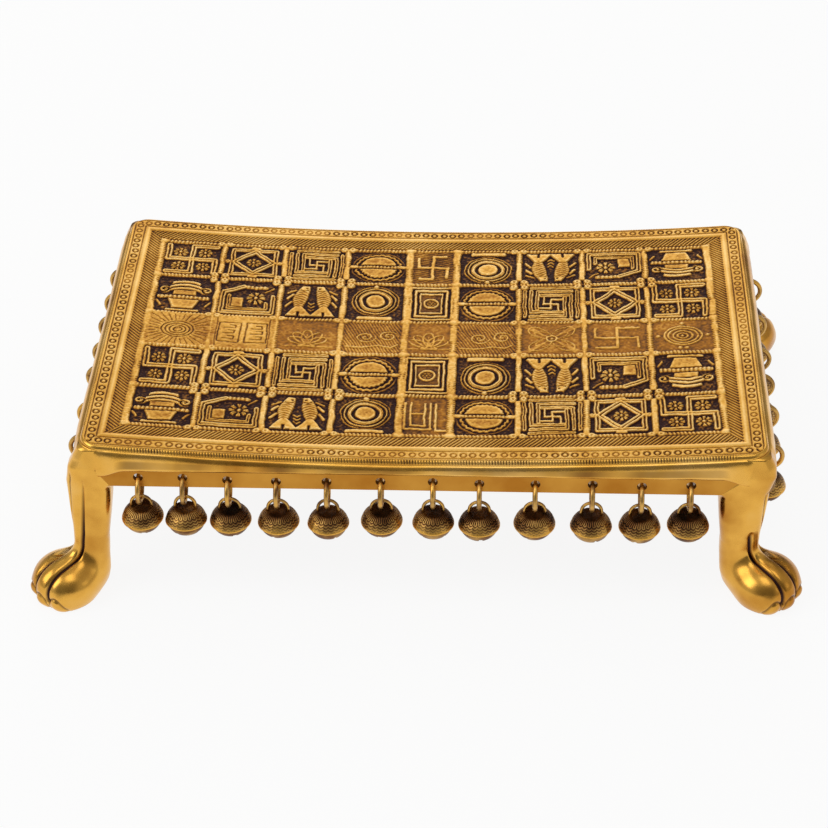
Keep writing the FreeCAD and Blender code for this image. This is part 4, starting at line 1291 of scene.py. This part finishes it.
def add_ring(bm, centre, axis_turn, wide, wire, turns=44, sides=12):
    """A wire ring in the plane across the side that it hangs from."""
    made = bmesh.ops.create_circle(bm, segments=sides, radius=wire / 2)["verts"]
    edges = list({e for v in made for e in v.link_edges})
    start = Matrix.Translation((wide / 2 - wire / 2, 0, 0)) @ Matrix.Rotation(
        math.pi / 2, 4, "X")
    bmesh.ops.transform(bm, matrix=start, verts=made)
    before = set(bm.verts)
    bmesh.ops.spin(
        bm, geom=made + edges, cent=(0, 0, 0), axis=(0, 0, 1), angle=2 * math.pi,
        steps=turns, use_merge=True,
    )
    ring = [v for v in bm.verts if v not in before] + [v for v in made if v.is_valid]
    stand = Matrix.Translation(centre) @ Matrix.Rotation(axis_turn, 4, "Z")
    stand = stand @ Matrix.Rotation(math.pi / 2, 4, "Y")
    bmesh.ops.transform(bm, matrix=stand, verts=ring)


def bell_shape(top_place, turn, spin, lean):
    """One bell hung with its loop's top at a place, as a bmesh."""
    b = bell()
    land_share = math.sqrt(1.0 - (b.land / b.radius) ** 2)
    half = b.height / (1.0 + land_share)
    bm = bmesh.new()
    bmesh.ops.create_uvsphere(bm, u_segments=48, v_segments=48, radius=1.0)
    uv = bm.loops.layers.uv.new("bell")
    wear_and_painted_shade = bm.verts.layers.float.new("wear_and_painted_shade")
    bm.faces.ensure_lookup_table()
    for face in bm.faces:
        mid = math.atan2(face.calc_center_median().y, face.calc_center_median().x)
        for loop in face.loops:
            co = loop.vert.co
            around = math.atan2(co.y, co.x) if math.hypot(co.x, co.y) > 1e-5 else mid
            if around - mid > math.pi:
                around -= 2 * math.pi
            if around - mid < -math.pi:
                around += 2 * math.pi
            loop[uv].uv = (around / (2 * math.pi) + 0.5, math.acos(max(-1, min(1, co.z))) / math.pi)
    seam = -b.seam
    rim = seam / 4.0
    for vert in bm.verts:
        up = vert.co.z
        down = math.acos(max(-1.0, min(1.0, up))) / math.pi
        bead = float(smooth((0.036 - abs(down - 0.485)) / 0.02))
        below = float(smooth((down - 0.501) / 0.012))
        wide = b.radius * (1.0 - 0.07 * below) - 0.24 * MM * (1 - bead)
        z = min(rim + (half - rim if up > 0 else half + rim) * up, half * land_share)
        vert.co = (vert.co.x * wide, vert.co.y * wide, z)
        # Bright on the seam bead and low elsewhere; the material uses this only below the dome,
        # where the low value is painted shade on the lower cup.
        vert[wear_and_painted_shade] = 0.10 + 1.1 * bead
    slot_top = seam - (half + seam) * 0.28
    cutters = [((0, 0, slot_top), (0, 0, 1))]
    for angle in (math.pi / 4, 3 * math.pi / 4):
        side = Vector((math.cos(angle), math.sin(angle), 0))
        for way in (-1, 1):
            cutters.append((side * way * b.slot / 2, side))
    for place, normal in cutters:
        geom = [f for f in bm.faces if f.calc_center_median().z < seam]
        geom += list({e for f in geom for e in f.edges} | {v for f in geom for v in f.verts})
        bmesh.ops.bisect_plane(bm, geom=geom, dist=1e-7, plane_co=place, plane_no=normal)
    gone = []
    for face in bm.faces:
        spot = face.calc_center_median()
        if spot.z > slot_top:
            continue
        across = [abs(spot.x * math.cos(a) + spot.y * math.sin(a))
                  for a in (math.pi / 4, 3 * math.pi / 4)]
        if min(across) < b.slot / 2:
            gone.append(face)
    bmesh.ops.delete(bm, geom=gone, context="FACES")
    bmesh.ops.solidify(bm, geom=bm.faces[:], thickness=b.wall)
    bmesh.ops.recalc_face_normals(bm, faces=bm.faces)
    bmesh.ops.transform(bm, matrix=Matrix.Rotation(spin, 4, "Z"), verts=bm.verts)
    drop = -(b.bail_width - b.bail_wire) / 2 - 1.7 * MM - half * land_share - b.bail_wire / 2
    bmesh.ops.translate(bm, vec=(0, 0, drop), verts=bm.verts)
    add_bail(bm, b)
    ball = bmesh.ops.create_icosphere(bm, subdivisions=2, radius=b.pellet / 2)["verts"]
    low = drop - half + b.wall + b.pellet / 2 + 0.3 * MM
    bmesh.ops.translate(bm, vec=(0, 0, low), verts=ball)
    for face in {f for v in ball for f in v.link_faces}:
        face.material_index = 2
    hang = Matrix.Translation(top_place) @ Matrix.Rotation(turn, 4, "Z")
    hang = hang @ Matrix.Rotation(lean, 4, "X")
    bmesh.ops.transform(bm, matrix=hang, verts=bm.verts)
    return bm


def add_bail(bm, b):
    """The wire loop: an arch with two straight ends."""
    radius = (b.bail_width - b.bail_wire) / 2
    made = bmesh.ops.create_circle(bm, segments=10, radius=b.bail_wire / 2)["verts"]
    edges = list({e for v in made for e in v.link_edges})
    before = set(bm.verts) - set(made)
    centre = -b.bail_wire / 2 - radius
    foot = centre - 2.4 * MM
    bmesh.ops.translate(bm, vec=(radius, 0, foot), verts=made)
    grown = bmesh.ops.extrude_edge_only(bm, edges=edges)["geom"]
    up = [g for g in grown if isinstance(g, bmesh.types.BMVert)]
    bmesh.ops.translate(bm, vec=(0, 0, centre - foot), verts=up)
    ring = [g for g in grown if isinstance(g, bmesh.types.BMEdge)
            and g.verts[0] in up and g.verts[1] in up]
    bent = bmesh.ops.spin(
        bm, geom=up + ring, cent=(0, 0, centre), axis=(0, -1, 0), angle=math.pi,
        steps=18, use_merge=False,
    )["geom_last"]
    last = [g for g in bent if isinstance(g, bmesh.types.BMEdge)]
    grown = bmesh.ops.extrude_edge_only(bm, edges=last)["geom"]
    down = [g for g in grown if isinstance(g, bmesh.types.BMVert)]
    bmesh.ops.translate(bm, vec=(0, 0, foot - centre), verts=down)
    wire = [v for v in bm.verts if v not in before]
    faces = {f for v in wire for f in v.link_faces}
    open_edges = [e for f in faces for e in f.edges if e.is_boundary]
    bmesh.ops.holes_fill(bm, edges=list(set(open_edges)), sides=0)
    faces = {f for v in wire for f in v.link_faces}
    bmesh.ops.recalc_face_normals(bm, faces=list(faces))
    for face in faces:
        face.material_index = 1


def hanging_numbers(side):
    """The numbers of the rings on one side, from the frame's own nodes."""
    stem = "front_bell_" if side == "front" else f"{side}_hanger_"
    return sorted(name[len(stem):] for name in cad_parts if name.startswith(stem))


def bell_materials():
    """The three finishes of a bell, in the order of its faces."""
    return [finish("aged_bell_brass"), finish("drawn_brass"), finish("pellet_iron")]


# Operators: one for each piece or group of like pieces.

class BAJOT_OT_relief(bpy.types.Operator):
    """Carve the dished top: panels, bars, ropes, balls and chased border"""
    bl_idname = "bajot.relief"
    bl_label = "Carved top"

    def execute(self, context):
        surface = carved_surface()
        x, y = surface[0] / MM, surface[1] / MM
        columns, rows = grid_lines()
        lines = [columns[n] for n in (2, 4, 5, 7)]
        cuts_i = [0] + [int(np.argmin(abs(x - line))) for line in lines] + [len(x) - 1]
        cuts_j = [0] + [int(np.argmin(abs(y - line))) for line in (rows[3], rows[2])]
        cuts_j += [len(y) - 1]
        number = 0
        for i0, i1 in zip(cuts_i, cuts_i[1:]):
            for j0, j1 in zip(cuts_j, cuts_j[1:]):
                number += 1
                carved_tile(f"carved_top_{number}", surface, i0, i1, j0, j1,
                            finish("relief_brass"))
        return {"FINISHED"}


class BAJOT_OT_core(bpy.types.Operator):
    """Take the band, the underside and the leg seats from the CAD top"""
    bl_idname = "bajot.core"
    bl_label = "Band and underside"

    def execute(self, context):
        t = top()
        near = 0.05 * MM
        band_x = TOP_HIGH.x - t.band_step
        band_y = TOP_HIGH.y - t.band_step
        bm = bmesh.new()
        bm.from_mesh(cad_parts["tabletop"].data)
        bmesh.ops.remove_doubles(bm, verts=bm.verts, dist=1e-6)
        for vert in bm.verts:
            x, y, z = vert.co
            if z > t.band_top + near:
                x, y = pulled_in(x, y, t.half_length - t.inset, t.half_width - t.inset,
                                 t.corner - t.inset)
                z = min(z, float(dish(x)) - t.tile - 0.5 * MM)
            elif z > t.band_top - near:
                x, y = pulled_in(x, y, band_x, band_y, t.corner)
            vert.co = (float(x), float(y), z)
        for face in bm.faces:
            spot = face.calc_center_median()
            outer = abs(spot.x) > band_x - near or abs(spot.y) > band_y - near
            face.material_index = 0 if outer or spot.z < TOP_LOW.z + near else 1
            face.smooth = False
        materials = [finish("band_brass"), finish("rough_cast_brass")]
        piece = finished(bm, "band_and_underside", materials, flat=True)
        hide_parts("tabletop")
        return {"FINISHED"}


class BAJOT_OT_edge(bpy.types.Operator):
    """Sweep the notched edge and the polished roll round the top"""
    bl_idname = "bajot.edge"
    bl_label = "Notched edge and roll"

    def execute(self, context):
        self.notched_edge()
        self.roll()
        return {"FINISHED"}

    def notched_edge(self):
        """The bright bevel with its fine notches, plain at the corners."""
        count = 4 * int(round(0.9635 / top().notch_pitch))
        s, _, _, gap = outline(count)
        beat = np.arange(count) % 4
        straight = smooth((gap / MM - 12.0) / 6.0)
        uneven = 0.80 + 0.35 * mottle(31, s / MM, 0.0, 5.0)
        notch = np.where(beat == 0, 1.0, np.where(beat == 2, 0.0, 0.30)) * straight * uneven
        rim = level_on_outline(count, -top().inset)
        stations = []
        shares = []
        for away, drop, bite in EDGE_STATIONS:
            cut = notch * bite * 0.55 * MM
            stations.append((0.0, away * MM - cut, rim - drop * MM - cut * 0.7))
            shares.append(1.0 - 1.1 * notch * bite)
        swept("notched_edge", count, stations, finish("bright_brass"),
              shares)

    def roll(self):
        """The polished roll, with a rounded end on each side of a corner and a painted dark
        reflection along its lower part.
        """
        count = 1200
        t = top()
        s, _, _, gap = outline(count)
        rim = level_on_outline(count, -t.inset) - 1.9 * MM
        corner = 1.0 - smooth((gap - t.lobe_from) / ROLL_TUCK)
        lobe = smooth((LOBE_STARTS - gap) / LOBE_GROWS)
        wave = 1.0 - smooth((WAVE_STOPS - gap) / WAVE_FADES)
        low = t.band_top - t.lobe * lobe + 0.28 * MM * mottle(41, s / MM, 0.0, 23.0) * wave
        swell = 0.18 * MM * mottle(42, s / MM, 0.0, 30.0) * wave
        stations = [(0.0, np.full(count, -3.0 * MM), rim)]
        painted_dark_reflection = [np.ones(count)]
        blotch = 0.8 + 0.35 * mottle(43, s / MM, 0.0, 13.0)
        for share in np.linspace(0.0, 1.0, 19):
            # Painted dark reflection: a patchy darker strip down the lower part of the roll, left
            # off its rounded ends.
            strip = smooth((share - 0.22) / 0.25) * smooth((0.90 - share) / 0.10)
            painted_dark_reflection.append(1.0 - 0.46 * strip * blotch * (1.0 - lobe))
            level = rim + (low - rim) * share
            turn = np.clip(1.0 - (level - low) / (2.4 * MM), 0.0, 1.0)
            curl = (t.band_step - 0.05 * MM) * (1.0 - np.sqrt(np.clip(1.0 - turn**2, 0.0, 1.0)))
            arch = math.sqrt(1.0 - (1.0 - min(share / 0.5, 1.0)) ** 2)
            grow = 0.55 * arch + 0.45 * share
            away = swell * math.sin(math.pi * share) - abs(swell) - curl
            away = away - corner * (0.4 + 2.0 * share) * MM
            stations.append((grow, away, level))
        inner = t.half_length - TOP_HIGH.x - 2.0 * MM
        stations.append((1.0, np.full(count, inner), low))
        painted_dark_reflection.append(np.ones(count))
        swept("polished_roll", count, stations, finish("bright_brass"),
              painted_dark_reflection)


class BAJOT_OT_legs(bpy.types.Operator):
    """Shape the four legs with their grooves, toes and nails"""
    bl_idname = "bajot.legs"
    bl_label = "Paw legs"

    def execute(self, context):
        make_leg("front_left_leg", -1, -1, (65.0, 61.0), 0.96)
        make_leg("front_right_leg", 1, -1, (59.0, 37.0), 1.05)
        make_leg("rear_left_leg", -1, 1, (60.0, 56.0))
        make_leg("rear_right_leg", 1, 1, (62.0, 50.0))
        return {"FINISHED"}


class BAJOT_OT_front(bpy.types.Operator):
    """Hang the front rings and bells, each on its own body"""
    bl_idname = "bajot.front_bells"
    bl_label = "Front rings and bells"

    def execute(self, context):
        b = bell()
        for number in hanging_numbers("front"):
            low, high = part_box(f"front_ring_{number}")
            bm = bmesh.new()
            add_ring(bm, (low + high) / 2, 0.0, b.ring_width, b.ring_wire)
            bmesh.ops.recalc_face_normals(bm, faces=bm.faces)
            ring = finished(bm, f"front_wire_ring_{number}", finish("drawn_brass"),
                            f"front_ring_{number}")
            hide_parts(f"front_ring_{number}")
            low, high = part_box(f"front_bell_{number}")
            hook = Vector(((low.x + high.x) / 2, (low.y + high.y) / 2, high.z))
            lean = math.radians(4.0) * math.sin(int(number) * 2.3)
            bm = bell_shape(hook, 0.0, int(number) * 0.9, lean)
            piece = finished(bm, f"front_jingle_{number}", bell_materials(),
                             f"front_bell_{number}")
            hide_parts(f"front_bell_{number}")
        return {"FINISHED"}


class BAJOT_OT_hangers(bpy.types.Operator):
    """Hang the rings and bells of the rear, left and right sides"""
    bl_idname = "bajot.hangers"
    bl_label = "Rear and side bells"

    def execute(self, context):
        b = bell()
        for side, turn in (("rear", 0.0), ("left", math.pi / 2), ("right", math.pi / 2)):
            for number in hanging_numbers(side):
                node = f"{side}_hanger_{number}"
                low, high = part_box(node)
                x, y = (low.x + high.x) / 2, (low.y + high.y) / 2
                full = self.bell_drop(b)
                bm = bell_shape(Vector((x, y, low.z + full)), turn, int(number) * 0.7, 0.0)
                fresh = set(bm.faces)
                add_ring(bm, (x, y, high.z - b.ring_width / 2), turn, b.ring_width,
                         b.ring_wire)
                ring = [face for face in bm.faces if face not in fresh]
                bmesh.ops.recalc_face_normals(bm, faces=ring)
                for face in ring:
                    face.material_index = 1
                piece = finished(bm, f"{side}_ring_and_jingle_{number}", bell_materials(),
                                 node)
                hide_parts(node)
        return {"FINISHED"}

    def bell_drop(self, b):
        """Height of a bell with its loop."""
        return b.height + 1.7 * MM + b.bail_width / 2


# The camera that shows the table as the photograph does.
CAMERA_PLACE = (0.0354, -0.8909, 0.7117)
CAMERA_AHEAD = (-0.03827, 0.79243, -0.60876)
CAMERA_ROLL_DEG = 0.864
LENS = 102.1

# Share of plain white in the floor, and where that fades out and back in under the table.
FLOOR_WHITE = 0.90
SHADOW_SIDE = (0.135, 0.165)
SHADOW_FRONT = (-0.0245, -0.0215)
SHADOW_BACK = (0.020, 0.070)


class BAJOT_OT_stage(bpy.types.Operator):
    """Lay the pale floor and set the lights and the camera"""
    bl_idname = "bajot.stage"
    bl_label = "Floor, lights and camera"

    def execute(self, context):
        self.floor()
        self.world()
        self.lamp("back_light", (-0.1, 1.5, 1.15), (0, 0, 0.05), 1.8, 7.2)
        self.lamp("low_back_light", (0.0, 1.6, 0.45), (0, 0, 0.05), 1.2, 3.0)
        self.lamp("key_light", (-1.3, -0.5, 1.2), (0, 0, 0.05), 1.2, 9.0)
        self.lamp("top_light", (0.2, -0.6, 1.9), (0, 0, 0.05), 1.0, 4.0)
        self.lamp("side_light", (1.4, -0.6, 0.6), (0, 0, 0.05), 0.5, 0.4)
        self.camera()
        context.scene.view_settings.view_transform = "Standard"
        return {"FINISHED"}

    def floor(self):
        """A wide plain floor that keeps the object's shadow."""
        bm = bmesh.new()
        bmesh.ops.create_grid(bm, x_segments=8, y_segments=8, size=6.0)
        mesh = bpy.data.meshes.new("floor")
        bm.to_mesh(mesh)
        bm.free()
        material = bpy.data.materials.new("pale_floor")
        material.use_nodes = True
        tree = material.node_tree
        shader = tree.nodes["Principled BSDF"]
        shader.inputs["Base Color"].default_value = tone("floor")
        shader.inputs["Roughness"].default_value = 0.9
        glow = tree.nodes.new("ShaderNodeEmission")
        glow.inputs["Color"].default_value = (1.0, 1.0, 1.0, 1.0)
        glow.inputs["Strength"].default_value = 1.0
        mix = tree.nodes.new("ShaderNodeMixShader")
        glowing = maths(tree, "MULTIPLY", seen(tree), self.open_floor(tree))
        tree.links.new(glowing, mix.inputs["Fac"])
        tree.links.new(shader.outputs["BSDF"], mix.inputs[1])
        tree.links.new(glow.outputs["Emission"], mix.inputs[2])
        output = tree.nodes["Material Output"]
        tree.links.new(mix.outputs["Shader"], output.inputs["Surface"])
        mesh.materials.append(material)
        floor = bpy.data.objects.new("floor", mesh)
        bpy.context.scene.collection.objects.link(floor)

    def open_floor(self, tree):
        """How white the floor is: less so under the middle of the table."""
        where = tree.nodes.new("ShaderNodeTexCoord")
        split = tree.nodes.new("ShaderNodeSeparateXYZ")
        tree.links.new(where.outputs["Object"], split.inputs["Vector"])
        across = split.outputs["Y"]
        off_x = maths(tree, "ABSOLUTE", split.outputs["X"])
        open_x = ranged(tree, off_x, 0.0, FLOOR_WHITE, *SHADOW_SIDE)
        open_front = ranged(tree, across, FLOOR_WHITE, 0.0, *SHADOW_FRONT)
        open_back = ranged(tree, across, 0.0, FLOOR_WHITE, *SHADOW_BACK)
        open_y = maths(tree, "MAXIMUM", open_front, open_back)
        return maths(tree, "MAXIMUM", open_x, open_y)

    def world(self):
        """A plain studio, dim in front and behind, paler overhead and at the sides."""
        world = bpy.data.worlds.new("studio")
        bpy.context.scene.world = world
        world.use_nodes = True
        tree = world.node_tree
        where = tree.nodes.new("ShaderNodeTexCoord")
        split = tree.nodes.new("ShaderNodeSeparateXYZ")
        tree.links.new(where.outputs["Generated"], split.inputs["Vector"])
        shade = ramp(tree, split.outputs["Z"], [
            (0.05, (0.16, 0.16, 0.17, 1.0)), (0.95, (0.62, 0.62, 0.61, 1.0)),
            (0.68, (0.25, 0.25, 0.25, 1.0)),
        ])
        aside = maths(tree, "ABSOLUTE", split.outputs["X"])
        walls = ranged(tree, aside, 0.0, 0.80, 0.45, 0.70)
        shade = mixed(tree, walls, shade, (0.60, 0.60, 0.59, 1.0))
        room = tree.nodes["Background"]
        tree.links.new(shade, room.inputs["Color"])
        room.inputs["Strength"].default_value = 1.0

    def lamp(self, name, place, target, wide, power):
        """A square soft light."""
        data = bpy.data.lights.new(name, "AREA")
        data.size = wide
        data.energy = power
        lamp = bpy.data.objects.new(name, data)
        lamp.location = place
        aim = Vector(target) - Vector(place)
        lamp.rotation_euler = aim.to_track_quat("-Z", "Y").to_euler()
        bpy.context.scene.collection.objects.link(lamp)

    def camera(self):
        """The camera at the photograph's angle."""
        data = bpy.data.cameras.new("camera")
        data.lens = LENS
        data.sensor_width = 36.0
        data.clip_start = 0.05
        data.clip_end = 50.0
        camera = bpy.data.objects.new("camera", data)
        ahead = Vector(CAMERA_AHEAD).normalized()
        right = Vector((0.99884, 0.04824, 0.0)).normalized()
        up = right.cross(ahead).normalized()
        roll = math.radians(CAMERA_ROLL_DEG)
        turned_right = math.cos(roll) * right - math.sin(roll) * up
        turned_up = math.sin(roll) * right + math.cos(roll) * up
        axes = Matrix((turned_right, turned_up, -ahead)).transposed().to_4x4()
        camera.matrix_world = Matrix.Translation(CAMERA_PLACE) @ axes
        bpy.context.scene.collection.objects.link(camera)
        bpy.context.scene.camera = camera


def seen(tree):
    """1 for rays that show the background itself, in glass and metal too."""
    rays = tree.nodes.new("ShaderNodeLightPath")
    seen_by = maths(tree, "MAXIMUM", rays.outputs["Is Camera Ray"],
                    rays.outputs["Is Glossy Ray"])
    return maths(tree, "MAXIMUM", seen_by, rays.outputs["Is Transmission Ray"])


class BAJOT_PT_panel(bpy.types.Panel):
    """Lists the bajot's steps and sizes"""
    bl_idname = "BAJOT_PT_panel"
    bl_label = "Bajot"
    bl_space_type = "VIEW_3D"
    bl_region_type = "UI"
    bl_category = "Bajot"

    def draw(self, context):
        for step in STEPS:
            self.layout.operator(step.bl_idname)
        for name, group in GROUPS.items():
            box = self.layout.box()
            box.label(text=group.__doc__)
            for item in group.__annotations__:
                box.prop(getattr(context.scene, name), item)


STEPS = (
    BAJOT_OT_core, BAJOT_OT_relief, BAJOT_OT_edge, BAJOT_OT_legs,
    BAJOT_OT_front, BAJOT_OT_hangers, BAJOT_OT_stage,
)
CLASSES = (*GROUPS.values(), *STEPS, BAJOT_PT_panel)


def register():
    """Register the classes and the sizes."""
    for each in CLASSES:
        bpy.utils.register_class(each)
    for name, group in GROUPS.items():
        setattr(bpy.types.Scene, name, bpy.props.PointerProperty(type=group))


def unregister():
    """Take the classes and the sizes away again."""
    for name in GROUPS:
        delattr(bpy.types.Scene, name)
    for each in reversed(CLASSES):
        bpy.utils.unregister_class(each)


def main():
    """Register the steps and the sizes, then build every piece and the stage."""
    register()
    bpy.ops.bajot.core()
    bpy.ops.bajot.relief()
    bpy.ops.bajot.edge()
    bpy.ops.bajot.legs()
    bpy.ops.bajot.front_bells()
    bpy.ops.bajot.hangers()
    bpy.ops.bajot.stage()


if __name__ == "__main__":
    main()
